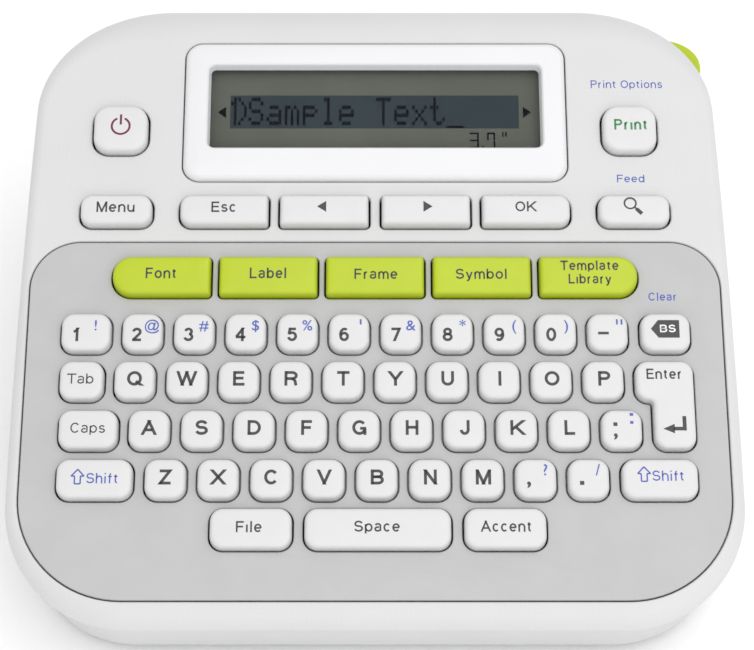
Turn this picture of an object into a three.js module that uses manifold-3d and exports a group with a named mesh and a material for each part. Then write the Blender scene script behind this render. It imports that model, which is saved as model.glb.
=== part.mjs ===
// Desktop label maker: a wedge-shaped printer with a sloping keyboard deck, an LCD, a cutter lever at the
// rear right corner and, underneath, a lift-off cover over the battery bay and the tape cassette bay.
// Millimetres. +X right, +Y to the back, +Z up; the origin is the bottom centre of the bounding box.
import * as THREE from 'three';
import { mergeVertices } from 'three/addons/utils/BufferGeometryUtils.js';
import Module from 'manifold-3d';

const wasm = await Module();
wasm.setup();

// ---------- driving dimensions ----------
const WIDTH = 157;
const DECK_TILT = THREE.MathUtils.degToRad(18);
const DECK_ORIGIN = new THREE.Vector3(0, -12.3, 45.87);
const SEAM = 0.3;
const WALL = 2.2;

const CASING_FRONT = -66.75;
const CASING_BACK = 81.7;
const CASING_REAR_HALF_WIDTH = 76.6;
const FRONT_CORNER = 26.5;
const REAR_CORNER = 30;
const EDGE_SIDE = 2.5;
const EDGE_FRONT = 4.75;
const EDGE_BACK = 12;
const PARTING_DEPTH = 12.5;
const UNDERCUT = 3;

const BASE_Z = 1.5;
const FLOOR = 2.2;
const BASE_HALF_WIDTH = 75;
const BASE_FRONT = -67.5;
const BASE_BACK = 74.55;

const PLATE = {
  halfWidth: 75.5, back: 19.5, front: -61.3, thickness: 2, backCorner: 10.8, frontCorner: 22.5,
};
const LEDGE = { halfWidth: 70.9, back: 16.6, front: -53.4, corner: 8, bottom: 4.2 };

const KEY_GAP = 0.35;
const KEY_CORNER = 1.8;
const KEY_RISE = 2.3;
const KEY_BEVEL = 0.8;
const FLANGE = { top: 2.5, thickness: 0.8, lip: 0.7 };
const PITCH = 11.2;
const KEY_HEIGHT = 8.8;
const ROW = { power: 46.6, menu: 26.7, green: 11, number: -2.3, q: -13.3, a: -24.4, z: -35.4, space: -46.2 };

const DISPLAY = { halfWidth: 43, front: 34.4, back: 68.7, corner: 3.8, rise: 1.2, flange: 1.8 };
const LCD_VIEW = { halfWidth: 36.7, front: 42.15, back: 61.1 };

const SHEET = { top: 4.75, thickness: 0.8, halfWidth: 66.5, front: -52.5, back: 54 };
const BOARD = { top: 5.9, thickness: 1.6, halfWidth: 66, front: -52, back: 54 };

const BATTERY_BAY = { x: [-62, -26], y: [8, 62], top: 28, wall: 1.8 };
const CASSETTE_BAY = { x: [-18, 68.6], y: [5, 60.8], top: 25.9, wall: 1.6 };
const COVER = { x: [-63, 68], y: [7, 61], top: 3.7, gap: 0.4 };
const FRAME_PLATE = { bottom: 26.2, top: 27.8 };

const GEAR_MODULE = 0.9;
const GEAR_Z = [28.4, 31.4];
const TEETH = { reduction: 24, pinion: 8, platen: 12, takeUp: 12 };
const PLATEN_AXIS = { x: 56.5, y: 36 };
const PIN_RADIUS = 1.5;
const BORE_RADIUS = 1.6;
const HOLDER_PIVOT = { x: 60, y: 12 };
const LEVER_PIVOT = { x: 69, y: 26 };
const LEVER_Z = [42, 61];
const LEVER_CENTRE = { x: 46.6, y: 41.5 };
const LEVER_FACE = { from: 8.5, to: 49, radius: 24.8, bulge: 6.4, steps: 8 };
const LEVER_OPENING = { from: 8, to: 55, inner: 21, outer: 40, gap: 0.7, steps: 4 };
const BLADE_Z = [6, 48];
const SPRING = { start: [46.2, 60.4, 34], length: 10.4, radius: 2.2, turns: 5, wire: 0.4 };

const TAPE_EXIT = { x: [50, 55], y: [66, 80], z: [6.5, 22.5] };
const PANE = { x: [-39, 39], y: [38.8, 64.2], window: [-2, -1], lcd: [-5, -2.4] };
const JACK = {
  x: [-70.4, -58], y: -14, z: 13, halfWidth: 5, halfHeight: 5.5, barrel: 4.2, bore: 3.2, mouth: -72.6,
};
const FOOT = { radius: 4.6, front: { x: 54, y: -52 }, rear: { x: 45, y: 66.6 } };
const POSTS = [{ x: -69.6, y: -33 }, { x: 69.6, y: -33 }, { x: -20, y: 64.7 }, { x: 20, y: 64.7 }];
const POST = { radius: 2.1, bottom: 8, pilot: 1.1, pilotTop: 16 };
const SCREW = { shank: 1, head: 2.4, headLow: 3.2, headHigh: 5, tip: 14, slot: 0.8, slotDepth: 0.8 };
const SCREW_WELL = { radius: 3, depth: 5.4, boss: 4.2, bossTop: 7.6 };

// ---------- colours ----------
function finish(color, roughness, metalness = 0) {
  return new THREE.MeshStandardMaterial({ color, roughness, metalness });
}

const white = () => finish(0xe4e5e4, 0.45);
const glossWhite = () => finish(0xebebec, 0.2);
const grey = () => finish(0xc6c7c7, 0.45);
const keyWhite = () => finish(0xe9e9e8, 0.4);
const lime = () => finish(0xbed537, 0.4);
const darkPlastic = () => finish(0x3a3c3e, 0.5);
const rubber = () => finish(0x2a2a2b, 0.85);
const steel = () => finish(0xb9bcc0, 0.3, 1);
const aluminium = () => finish(0xc5c8ca, 0.35, 1);
const acetal = () => finish(0xe8e4d6, 0.5);
const silicone = () => finish(0x8e9296, 0.8);
const boardGreen = () => finish(0x2f6b4a, 0.5);

// ---------- solids ----------
// A three.js geometry as a closed solid that can be joined and cut.
function solid(geometry) {
  const bare = geometry.clone();
  bare.deleteAttribute('normal');
  bare.deleteAttribute('uv');
  const merged = mergeVertices(bare, 1e-4);
  return new wasm.Manifold(new wasm.Mesh({
    numProp: 3,
    vertProperties: new Float32Array(merged.attributes.position.array),
    triVerts: new Uint32Array(merged.index.array),
  }));
}

function geometryOf(body) {
  const mesh = body.getMesh();
  const geometry = new THREE.BufferGeometry();
  geometry.setAttribute('position', new THREE.BufferAttribute(mesh.vertProperties.slice(), 3));
  geometry.setIndex([...mesh.triVerts]);
  geometry.computeVertexNormals();
  return geometry;
}

const join = (first, ...rest) => rest.reduce((body, piece) => body.add(piece), first);
const cut = (first, ...rest) => rest.reduce((body, piece) => body.subtract(piece), first);

// A closed skin through rings of points, lowest ring first, each ring anticlockwise seen from above.
function loft(rings) {
  const count = rings[0].length;
  const positions = rings.flat().flatMap((point) => [point.x, point.y, point.z]);
  const index = [];
  for (let level = 0; level + 1 < rings.length; level += 1) {
    for (let side = 0; side < count; side += 1) {
      const a = level * count + side;
      const b = level * count + (side + 1) % count;
      index.push(a, b, b + count, a, b + count, a + count);
    }
  }
  const flat = (ring) => ring.map((point) => new THREE.Vector2(point.x, point.y));
  for (const [a, b, c] of THREE.ShapeUtils.triangulateShape(flat(rings[0]), [])) index.push(a, c, b);
  const last = (rings.length - 1) * count;
  for (const [a, b, c] of THREE.ShapeUtils.triangulateShape(flat(rings.at(-1)), [])) {
    index.push(last + a, last + b, last + c);
  }
  const geometry = new THREE.BufferGeometry();
  geometry.setAttribute('position', new THREE.Float32BufferAttribute(positions, 3));
  geometry.setIndex(index);
  return geometry;
}

const ringAt = (outline, z) => outline.map(({ x, y }) => new THREE.Vector3(x, y, z));
const prism = (outline, low, high) => solid(loft([ringAt(outline, low), ringAt(outline, high)]));

function block(x, y, z) {
  const box = new THREE.BoxGeometry(x[1] - x[0], y[1] - y[0], z[1] - z[0]);
  return solid(box.translate((x[0] + x[1]) / 2, (y[0] + y[1]) / 2, (z[0] + z[1]) / 2));
}

function cylinder(centre, radius, low, high, sides = 16) {
  const geometry = new THREE.CylinderGeometry(radius, radius, high - low, sides);
  return solid(geometry.rotateX(Math.PI / 2).translate(centre.x, centre.y, (low + high) / 2));
}

// Turns a solid made in deck coordinates (x across, y up the slope, z out of the deck) into the row frame.
const deckMatrix = new THREE.Matrix4().makeRotationX(DECK_TILT).setPosition(DECK_ORIGIN);
const onDeck = (body) => solid(geometryOf(body).applyMatrix4(deckMatrix));
const deckPoint = (u, v, n) => new THREE.Vector3(u, v, n).applyMatrix4(deckMatrix);

// ---------- outlines ----------
function beside(from, distance, degrees) {
  const angle = THREE.MathUtils.degToRad(degrees);
  return { x: from.x + distance * Math.cos(angle), y: from.y + distance * Math.sin(angle) };
}

const outlineOf = (pairs) => pairs.map(([x, y]) => ({ x, y }));

// A polygon with square corners, moved in by inset, with its corners rounded; arcs of `steps` chords.
function roundedPolygon(corners, radii, inset = 0, steps = 1) {
  const points = [];
  const count = corners.length;
  corners.forEach((corner, i) => {
    const before = corners[(i + count - 1) % count].clone().sub(corner).normalize();
    const after = corners[(i + 1) % count].clone().sub(corner).normalize();
    const convex = before.cross(after) < 0;
    const side = convex ? 1 : -1;
    const place = corner.clone().addScaledVector(before, inset * side).addScaledVector(after, inset * side);
    const wanted = Array.isArray(radii) ? radii[i] : radii;
    const radius = Math.max(0.25, wanted - inset * side);
    const centre = place.clone().addScaledVector(before, radius).addScaledVector(after, radius);
    for (let step = 0; step <= steps; step += 1) {
      const angle = step / steps * Math.PI / 2;
      points.push(centre.clone()
        .addScaledVector(after, -radius * Math.cos(angle))
        .addScaledVector(before, -radius * Math.sin(angle)));
    }
  });
  return points;
}

const corners = (x, y) => [
  new THREE.Vector2(x[0], y[0]), new THREE.Vector2(x[1], y[0]),
  new THREE.Vector2(x[1], y[1]), new THREE.Vector2(x[0], y[1]),
];

const roundedRectangle = (x, y, radii, steps = 1) => roundedPolygon(corners(x, y), radii, 0, steps);

// The plan outline of the casing, with its outward normals: rounded corners and slightly barrelled sides.
function casingOutline({ halfWidth, rearHalfWidth, front, back, frontCorner, rearCorner }) {
  const right = [];
  const arc = (centreX, centreY, radius, from, to, steps) => {
    for (let step = 0; step <= steps; step += 1) {
      const angle = THREE.MathUtils.degToRad(from + (to - from) * step / steps);
      const normal = new THREE.Vector2(Math.cos(angle), Math.sin(angle));
      right.push({ x: centreX + radius * normal.x, y: centreY + radius * normal.y, normal });
    }
  };
  arc(halfWidth - frontCorner, front + frontCorner, frontCorner, -90, 0, 7);
  const start = front + frontCorner;
  const end = back - rearCorner;
  for (const t of [0.35, 0.7]) {
    const x = halfWidth + (rearHalfWidth - halfWidth) * t * t;
    right.push({ x, y: start + (end - start) * t, normal: new THREE.Vector2(1, 0) });
  }
  arc(rearHalfWidth - rearCorner, end, rearCorner, 0, 90, 7);
  const mirrored = (normal) => new THREE.Vector2(-normal.x, normal.y);
  const left = right.map(({ x, y, normal }) => ({ x: -x, y, normal: mirrored(normal) }));
  return [...right, ...left.reverse()];
}

const casing = casingOutline({
  halfWidth: WIDTH / 2,
  rearHalfWidth: CASING_REAR_HALF_WIDTH,
  front: CASING_FRONT,
  back: CASING_BACK,
  frontCorner: FRONT_CORNER,
  rearCorner: REAR_CORNER,
});

const base = casingOutline({
  halfWidth: BASE_HALF_WIDTH,
  rearHalfWidth: BASE_HALF_WIDTH - 1,
  front: BASE_FRONT,
  back: BASE_BACK,
  frontCorner: FRONT_CORNER - UNDERCUT,
  rearCorner: REAR_CORNER - 4,
});

// The radius of the casing's top edge: small at the sides, a bullnose in front, a soft roll at the back.
function edgeRadius(normal) {
  const towardBack = Math.max(0, normal.y) ** 1.6;
  const towardFront = Math.max(0, -normal.y);
  return EDGE_SIDE + (EDGE_BACK - EDGE_SIDE) * towardBack + (EDGE_FRONT - EDGE_SIDE) * towardFront;
}

const undercut = (normal) => UNDERCUT * (1 - Math.max(0, normal.y));

// A ring on the casing's skin in deck coordinates; inset and depth are functions of the outward normal.
const skinRing = (inset, depth) => casing.map(({ x, y, normal }) => new THREE.Vector3(
  x - inset(normal) * normal.x, y - inset(normal) * normal.y, -depth(normal)));

function edgeRing(degrees) {
  const angle = THREE.MathUtils.degToRad(degrees);
  return skinRing(
    (normal) => edgeRadius(normal) * (1 - Math.sin(angle)),
    (normal) => edgeRadius(normal) * (1 - Math.cos(angle)));
}

// ---------- key layout, in deck coordinates ----------
const rectangleKey = (u, v, width, height = KEY_HEIGHT, radii = KEY_CORNER) => ({
  corners: corners([u - width / 2, u + width / 2], [v - height / 2, v + height / 2]),
  radii,
});

const letterRow = (first, v, count) => Array.from({ length: count }, (_, i) => rectangleKey(
  first + i * PITCH, v, KEY_HEIGHT));

const GREEN_WIDTH = 21.5;
const GREEN_PITCH = 23.35;
const GREEN_HEIGHT = 9.1;
const GREEN_END = 4.2;
const greenKey = (place, radii) => rectangleKey(
  place * GREEN_PITCH, ROW.green, GREEN_WIDTH, GREEN_HEIGHT, radii);

const enterKey = {
  corners: [[59.5, -28.8], [68.5, -28.8], [68.5, -8.9], [55.9, -8.9], [55.9, -17.9], [59.5, -17.9]]
    .map(([u, v]) => new THREE.Vector2(u, v)),
  radii: [KEY_CORNER, KEY_CORNER, KEY_CORNER, KEY_CORNER, KEY_CORNER, 0.9],
};

// Keys in the casing's own openings, round the display.
const CASING_KEYS = {
  key_power: rectangleKey(-57.1, ROW.power, 12.1, 11.3, 2.6),
  key_print: rectangleKey(57.1, ROW.power, 12.1, 11.3, 2.6),
  key_menu: rectangleKey(-57.3, ROW.menu, 15.8, 7.2),
  key_escape: rectangleKey(-33.4, ROW.menu, 19.5, 7.2),
  key_left: rectangleKey(-11.25, ROW.menu, 19.6, 7.2),
  key_right: rectangleKey(11.25, ROW.menu, 19.6, 7.2),
  key_ok: rectangleKey(33.4, ROW.menu, 19.5, 7.2),
  key_zoom: rectangleKey(57.3, ROW.menu, 15.8, 7.2),
};

const GREEN_KEYS = {
  key_font: greenKey(-2, [GREEN_END, KEY_CORNER, KEY_CORNER, GREEN_END]),
  key_label: greenKey(-1, KEY_CORNER),
  key_frame: greenKey(0, KEY_CORNER),
  key_symbol: greenKey(1, KEY_CORNER),
  key_template: greenKey(2, [KEY_CORNER, GREEN_END, GREEN_END, KEY_CORNER]),
};

const PLATE_KEYS = {
  key_backspace: rectangleKey(62.9, ROW.number, 10.8),
  key_tab: rectangleKey(-63.1, ROW.q, 9.5),
  key_enter: enterKey,
  key_caps: rectangleKey(-61.2, ROW.a, 12.7),
  key_shift_left: rectangleKey(-59.4, ROW.z, 16.2),
  key_shift_right: rectangleKey(60.3, ROW.z, 16.2),
  key_file: rectangleKey(-26.1, ROW.space, 17.3),
  key_space: rectangleKey(0.6, ROW.space, 30.9),
  key_accent: rectangleKey(27.4, ROW.space, 17.3),
};

const LETTER_ROWS = {
  number_key_row: [rectangleKey(-62.6, ROW.number, 10.8), ...letterRow(-61.6 + PITCH, ROW.number, 10)],
  upper_letter_row: letterRow(-51.7, ROW.q, 10),
  middle_letter_row: letterRow(-48.2, ROW.a, 10),
  lower_letter_row: letterRow(-44.4, ROW.z, 9),
};

// ---------- keys ----------
const keyOutline = (key, inset) => roundedPolygon(key.corners, key.radii, inset);

function keyCap(key, bottom) {
  return [
    ringAt(keyOutline(key, 0), bottom),
    ringAt(keyOutline(key, 0), KEY_RISE - KEY_BEVEL),
    ringAt(keyOutline(key, KEY_BEVEL), KEY_RISE),
  ];
}

// A key that moves on its own: a cap with a flange under the deck that keeps it in its opening.
function singleKey(key) {
  const low = -FLANGE.top - FLANGE.thickness;
  return loft([
    ringAt(keyOutline(key, -FLANGE.lip), low),
    ringAt(keyOutline(key, -FLANGE.lip), -FLANGE.top),
    ...keyCap(key, -FLANGE.top),
  ]);
}

// A row of caps moulded on one web under the plate.
function keyRow(keys) {
  const first = keys[0].corners[0];
  const last = keys.at(-1).corners[2];
  const web = block([first.x, last.x], [first.y, last.y], [-FLANGE.top - FLANGE.thickness, -FLANGE.top]);
  const caps = keys.map((key) => solid(loft(keyCap(key, -FLANGE.top - FLANGE.thickness / 2))));
  return geometryOf(join(web, ...caps));
}

const keyOpening = (key, low, high) => prism(keyOutline(key, -KEY_GAP), low, high);

// ---------- casing ----------
const plateOutline = (inset) => roundedPolygon(
  corners([-PLATE.halfWidth, PLATE.halfWidth], [PLATE.front, PLATE.back]),
  [PLATE.frontCorner, PLATE.frontCorner, PLATE.backCorner, PLATE.backCorner], inset, 4);

const displayOutline = (inset) => roundedPolygon(
  corners([-DISPLAY.halfWidth, DISPLAY.halfWidth], [DISPLAY.front, DISPLAY.back]), DISPLAY.corner, inset, 2);

// The corner opening that the cutter lever works in.
function leverOpening() {
  const { from, to, inner, outer, gap, steps } = LEVER_OPENING;
  const outline = [];
  for (let step = 0; step <= steps; step += 1) {
    outline.push(beside(LEVER_CENTRE, outer, from + (to - from) * step / steps));
  }
  outline.push(beside(LEVER_CENTRE, inner, to));
  outline.push(beside(LEVER_CENTRE, inner, from));
  return prism(outline, LEVER_Z[0] - gap, LEVER_Z[1] + gap);
}

function upperCasing() {
  const bottomRing = skinRing(undercut, () => PARTING_DEPTH);
  const rings = [bottomRing, edgeRing(90), edgeRing(72), edgeRing(45), edgeRing(18), edgeRing(0)];
  const outside = solid(loft(rings));
  const inside = solid(loft([
    skinRing((normal) => undercut(normal) + WALL, () => PARTING_DEPTH + 1),
    skinRing((normal) => WALL + undercut(normal) * 0.3, (normal) => Math.max(edgeRadius(normal), WALL + 1)),
    skinRing((normal) => WALL + edgeRadius(normal) * 0.45, () => WALL),
  ]));
  const ledge = prism(plateOutline(-1), -LEDGE.bottom, -1).intersect(outside);
  const recess = prism(plateOutline(-SEAM), -PLATE.thickness - SEAM, KEY_RISE);
  const keyWell = prism(roundedRectangle(
    [-LEDGE.halfWidth, LEDGE.halfWidth], [LEDGE.front, LEDGE.back], LEDGE.corner, 2), -6, KEY_RISE);
  const displayWell = prism(displayOutline(-SEAM), -6, KEY_RISE);
  const openings = Object.values(CASING_KEYS).map((key) => keyOpening(key, -6, KEY_RISE));
  const shell = cut(outside, inside).add(ledge);
  const deckCuts = onDeck(join(recess, keyWell, displayWell, ...openings));
  const belowParting = block([-80, 80], [-100, 100], [-80, -PARTING_DEPTH + 1]);
  const envelope = onDeck(join(outside, belowParting));
  const posts = POSTS.map((post) => cylinder(post, POST.radius, POST.bottom, 80, 10).intersect(envelope));
  const pilots = POSTS.map((post) => cylinder(post, POST.pilot, 0, POST.pilotTop, 8));
  return geometryOf(cut(join(onDeck(shell), ...posts), deckCuts, leverOpening(), ...pilots));
}

function keyboardPlate() {
  const shape = new THREE.Shape(plateOutline(0));
  const rows = Object.values(LETTER_ROWS).flat();
  const keys = [...rows, ...Object.values(GREEN_KEYS), ...Object.values(PLATE_KEYS)];
  shape.holes = keys.map((key) => new THREE.Path(keyOutline(key, -KEY_GAP).reverse()));
  const plate = new THREE.ExtrudeGeometry(shape, { depth: PLATE.thickness, bevelEnabled: false });
  return plate.translate(0, 0, -PLATE.thickness);
}

// Pieces of the lower casing's cassette bay and battery bay, standing on its floor.
function bayWalls() {
  const battery = cut(
    block(
      [BATTERY_BAY.x[0] - BATTERY_BAY.wall, BATTERY_BAY.x[1] + BATTERY_BAY.wall],
      [BATTERY_BAY.y[0] - BATTERY_BAY.wall, BATTERY_BAY.y[1] + BATTERY_BAY.wall],
      [BASE_Z + 0.5, BATTERY_BAY.top + BATTERY_BAY.wall]),
    block(BATTERY_BAY.x, BATTERY_BAY.y, [0, BATTERY_BAY.top]));
  const cassette = cut(
    block(
      [CASSETTE_BAY.x[0] - CASSETTE_BAY.wall, CASSETTE_BAY.x[1] + CASSETTE_BAY.wall],
      [CASSETTE_BAY.y[0] - CASSETTE_BAY.wall, CASSETTE_BAY.y[1] + CASSETTE_BAY.wall],
      [BASE_Z + 0.5, CASSETTE_BAY.top]),
    block(CASSETTE_BAY.x, CASSETTE_BAY.y, [0, CASSETTE_BAY.top + 1]));
  const tapeGate = block([48, 66], [CASSETTE_BAY.y[1] - 1, CASSETTE_BAY.y[1] + 4], [COVER.top, 30]);
  return [battery, cut(cassette, tapeGate)];
}

function lowerCasing() {
  const top = skinRing(undercut, () => PARTING_DEPTH + SEAM).map(({ x, y, z }) => deckPoint(x, y, z));
  const innerTop = skinRing((normal) => undercut(normal) + WALL, () => PARTING_DEPTH + SEAM - 1)
    .map(({ x, y, z }) => deckPoint(x, y, z));
  const level = (inset, z) => base.map(({ x, y, normal }) => new THREE.Vector3(
    x - inset * normal.x, y - inset * normal.y, z));
  const outside = solid(loft([level(2.5, BASE_Z), level(0.6, BASE_Z + 1.6), level(0, BASE_Z + 5), top]));
  const inside = solid(loft([
    level(4.2, BASE_Z + FLOOR), level(WALL, BASE_Z + 6), innerTop,
  ]));
  const bosses = POSTS.map((post) => cylinder(post, SCREW_WELL.boss, BASE_Z + 0.5, SCREW_WELL.bossTop, 10));
  const wells = POSTS.map((post) => join(
    cylinder(post, SCREW_WELL.radius, 0, SCREW_WELL.depth, 10),
    cylinder(post, SCREW.shank + 0.4, 0, 20, 8)));
  const springSeat = block([43.4, 45.4], [57, 74], [30.5, 37.5]).intersect(outside);
  const body = join(cut(outside, inside), ...bayWalls(), ...bosses, springSeat);
  const coverOpening = block(COVER.x, COVER.y, [0, COVER.top + 0.3]);
  const tapeExit = block(TAPE_EXIT.x, TAPE_EXIT.y, TAPE_EXIT.z);
  const jackHole = cylinder({ x: JACK.z, y: JACK.y }, JACK.barrel + 0.5, 0, 12, 12);
  const jackOpening = solid(geometryOf(jackHole).rotateY(-Math.PI / 2).translate(-66, 0, 0));
  const cassetteFree = block(CASSETTE_BAY.x, CASSETTE_BAY.y, [BASE_Z + 0.6, CASSETTE_BAY.top + 1]);
  const freeCore = cut(cassetteFree, ...bosses);
  return geometryOf(cut(body, coverOpening, tapeExit, jackOpening, leverOpening(), freeCore, ...wells));
}

function backCover() {
  const plate = block(
    [COVER.x[0] + COVER.gap, COVER.x[1] - COVER.gap],
    [COVER.y[0] + COVER.gap, COVER.y[1] - COVER.gap], [BASE_Z, COVER.top]);
  const latch = block([-8, 8], [58.4, 60], [COVER.top - 0.2, 8]);
  const hook = block([-8, 8], [59, 60.5], [6.4, 8]);
  const fingerRecess = block([-10, 10], [54, 60], [0, BASE_Z + 0.9]);
  return geometryOf(cut(join(plate, latch, hook), fingerRecess));
}

// ---------- display ----------
function displayFrame() {
  const outline = displayOutline(0);
  const flangeX = [-DISPLAY.halfWidth - DISPLAY.flange, DISPLAY.halfWidth + DISPLAY.flange];
  const flangeY = [DISPLAY.front - DISPLAY.flange * 0.7, DISPLAY.back + DISPLAY.flange * 0.4];
  const flange = prism(roundedRectangle(flangeX, flangeY, 2), -3.9, -WALL - SEAM);
  const frame = solid(loft([
    ringAt(outline, -3.9), ringAt(displayOutline(0), 0.5), ringAt(displayOutline(1.4), DISPLAY.rise),
  ]));
  const view = solid(loft([
    ringAt(roundedRectangle(
      [-LCD_VIEW.halfWidth, LCD_VIEW.halfWidth], [LCD_VIEW.front, LCD_VIEW.back], 0.8), -2),
    ringAt(roundedRectangle(
      [-LCD_VIEW.halfWidth - 1, LCD_VIEW.halfWidth + 1], [LCD_VIEW.front - 1, LCD_VIEW.back + 1], 1.2), 2),
  ]));
  const rebate = block([-39.4, 39.4], [38.4, 64.6], [-6, -0.7]);
  return geometryOf(cut(join(frame, flange), view, rebate));
}

// ---------- keyboard electronics ----------
// The silicone sheet stops short of the display frame.
function contactSheet() {
  const sheet = block(
    [-SHEET.halfWidth, SHEET.halfWidth],
    [SHEET.front, SHEET.back],
    [-SHEET.top - SHEET.thickness, -SHEET.top]);
  const displayNotch = block([-47, 47], [32.4, 80], [-20, 5]);
  return geometryOf(cut(sheet, displayNotch));
}

function circuitBoard() {
  return geometryOf(block(
    [-BOARD.halfWidth, BOARD.halfWidth],
    [BOARD.front, BOARD.back],
    [-BOARD.top - BOARD.thickness, -BOARD.top]));
}

// ---------- gears ----------
// Spur gear outline: straight-flanked teeth, thinner than their gaps so that a meshing pair runs free.
function gearOutline(teeth, centre, firstTooth) {
  const pitch = GEAR_MODULE * teeth / 2;
  const tip = pitch + 0.65 * GEAR_MODULE;
  const root = pitch - 1.05 * GEAR_MODULE;
  const step = Math.PI * 2 / teeth;
  const profile = [[-0.3, root], [-0.12, tip], [0.12, tip], [0.3, root]];
  const points = [];
  for (let tooth = 0; tooth < teeth; tooth += 1) {
    for (const [share, radius] of profile) {
      const angle = firstTooth + (tooth + share) * step;
      points.push({ x: centre.x + radius * Math.cos(angle), y: centre.y + radius * Math.sin(angle) });
    }
  }
  return points;
}

const meshDistance = (a, b) => GEAR_MODULE * (a + b) / 2;

const REDUCTION_AXIS = beside(PLATEN_AXIS, meshDistance(TEETH.reduction, TEETH.platen), 180);
const PINION_DIRECTION = 165;
const TAKE_UP_DIRECTION = 225;
const PINION_AXIS = beside(REDUCTION_AXIS, meshDistance(TEETH.reduction, TEETH.pinion), PINION_DIRECTION);
const TAKE_UP_AXIS = beside(REDUCTION_AXIS, meshDistance(TEETH.reduction, TEETH.takeUp), TAKE_UP_DIRECTION);

// The angle of a first tooth that puts a gap of this gear opposite a tooth of the reduction gear,
// whose first tooth points at the platen.
function meshingTooth(teeth, directionFromReduction) {
  const step = 360 / TEETH.reduction;
  const offset = directionFromReduction - Math.round(directionFromReduction / step) * step;
  const facing = directionFromReduction + 180;
  const gap = facing + 180 / teeth + offset * TEETH.reduction / teeth;
  return THREE.MathUtils.degToRad(gap);
}

function gearSolid(teeth, centre, firstTooth) {
  return prism(gearOutline(teeth, centre, firstTooth), GEAR_Z[0], GEAR_Z[1]);
}

function reductionGear() {
  const gear = gearSolid(TEETH.reduction, REDUCTION_AXIS, 0);
  return geometryOf(cut(gear, cylinder(REDUCTION_AXIS, BORE_RADIUS, 20, 40)));
}

function motorPinion() {
  const gear = gearSolid(TEETH.pinion, PINION_AXIS, meshingTooth(TEETH.pinion, PINION_DIRECTION));
  return geometryOf(gear.add(cylinder(PINION_AXIS, 1, GEAR_Z[1] - 0.2, 37, 8)));
}

function takeUpSpindle() {
  const gear = gearSolid(TEETH.takeUp, TAKE_UP_AXIS, meshingTooth(TEETH.takeUp, TAKE_UP_DIRECTION));
  const shaft = cylinder(TAKE_UP_AXIS, PIN_RADIUS, 12, GEAR_Z[0] + 0.2);
  const splineCore = cylinder(TAKE_UP_AXIS, 3, 8, 23, 12);
  const splines = prism(gearOutline(8, TAKE_UP_AXIS, 0), 9, 22).intersect(splineCore);
  return geometryOf(join(gear, shaft, splines));
}

function platenRoller() {
  const roller = cylinder(PLATEN_AXIS, 4.2, 6.2, 23.6, 20);
  const shaft = cylinder(PLATEN_AXIS, 1.4, 4, GEAR_Z[0] + 0.2, 12);
  const gear = gearSolid(TEETH.platen, PLATEN_AXIS, meshingTooth(TEETH.platen, 0));
  return geometryOf(join(roller, shaft, gear));
}

// ---------- print mechanism ----------
function mechanismFrame() {
  const outline = outlineOf([[-19, 3.6], [69.4, 3.6], [69.4, 52], [61, 62], [-19, 62]]);
  const plate = prism(outline, FRAME_PLATE.bottom, FRAME_PLATE.top);
  const bladeSlot = block([52.6, 62.2], [57.8, 63], [20, 30]);
  const shelf = block([14, 31], [32, 50], [32.4, 33.8]);
  const sideLeg = block([14, 16], [32, 50], [FRAME_PLATE.top - 0.2, 32.6]);
  const backLeg = block([14, 31], [49.6, 51.6], [FRAME_PLATE.top - 0.2, 33.8]);
  const gearPin = cylinder(REDUCTION_AXIS, PIN_RADIUS, FRAME_PLATE.top - 0.2, GEAR_Z[1] + 0.6);
  const holderPin = cylinder(HOLDER_PIVOT, PIN_RADIUS, 7, FRAME_PLATE.bottom + 0.2);
  const headTab = block([44, 50], [44.2, 46.2], [14, FRAME_PLATE.bottom + 0.2]);
  const platenSlot = block([52.2, 64], [32, 40], [20, 30]);
  const spindleHole = cylinder(TAKE_UP_AXIS, BORE_RADIUS, 20, 30);
  const motorHole = cylinder(PINION_AXIS, 2, 31.5, 35, 10);
  const body = join(plate, shelf, sideLeg, backLeg, gearPin, holderPin, headTab);
  return geometryOf(cut(body, platenSlot, bladeSlot, spindleHole, motorHole));
}

function platenHolder() {
  const outline = outlineOf([[57, 8.8], [64.2, 8.8], [64.2, 39.6], [54, 39.6], [54, 32.4], [57, 28]]);
  const arm = prism(outline, 4.1, 25.8);
  const rollerRoom = block([50, 61.6], [29, 45], [5.6, 24.2]);
  const webRoom = block([50, 61.6], [16.4, 29.5], [5.6, 24.2]);
  const pivotHole = cylinder(HOLDER_PIVOT, BORE_RADIUS, 0, 30);
  const shaftHole = cylinder(PLATEN_AXIS, BORE_RADIUS - 0.1, 0, 30, 12);
  return geometryOf(cut(arm, rollerRoom, webRoom, pivotHole, shaftHole));
}

function feedMotor() {
  const can = cylinder(PINION_AXIS, 8.6, 34.1, 45.5);
  const bearing = cylinder(PINION_AXIS, 1.2, 33, 37.4, 12);
  return geometryOf(cut(can, bearing));
}

function tapeCassette() {
  const outline = outlineOf([
    [-15.5, 9], [51.8, 9], [51.8, 27], [44.6, 27], [44.6, 44],
    [51.8, 44], [51.8, 54], [-11, 54], [-15.5, 49.5],
  ]);
  const body = prism(outline, 5.6, 24.4);
  const hub = cylinder(TAKE_UP_AXIS, 3.9, 0, 30, 12);
  const reelWindow = cylinder({ x: 8, y: 32 }, 6, 20, 30, 16);
  const headTabSlot = block([43.6, 52], [43.6, 46.8], [5, 30]);
  return geometryOf(cut(body, hub, reelWindow, headTabSlot));
}

const printHead = () => geometryOf(block([49.9, 51.9], [29.4, 42.6], [6.4, 25.9]));

function heatSink() {
  const plate = block([48, 49.6], [28.6, 43.2], [7, 25.9]);
  const fins = [0, 1, 2].map((place) => block([46.2, 48.2], [30 + place * 5, 31.4 + place * 5], [8, 25]));
  return geometryOf(join(plate, ...fins));
}

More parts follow.
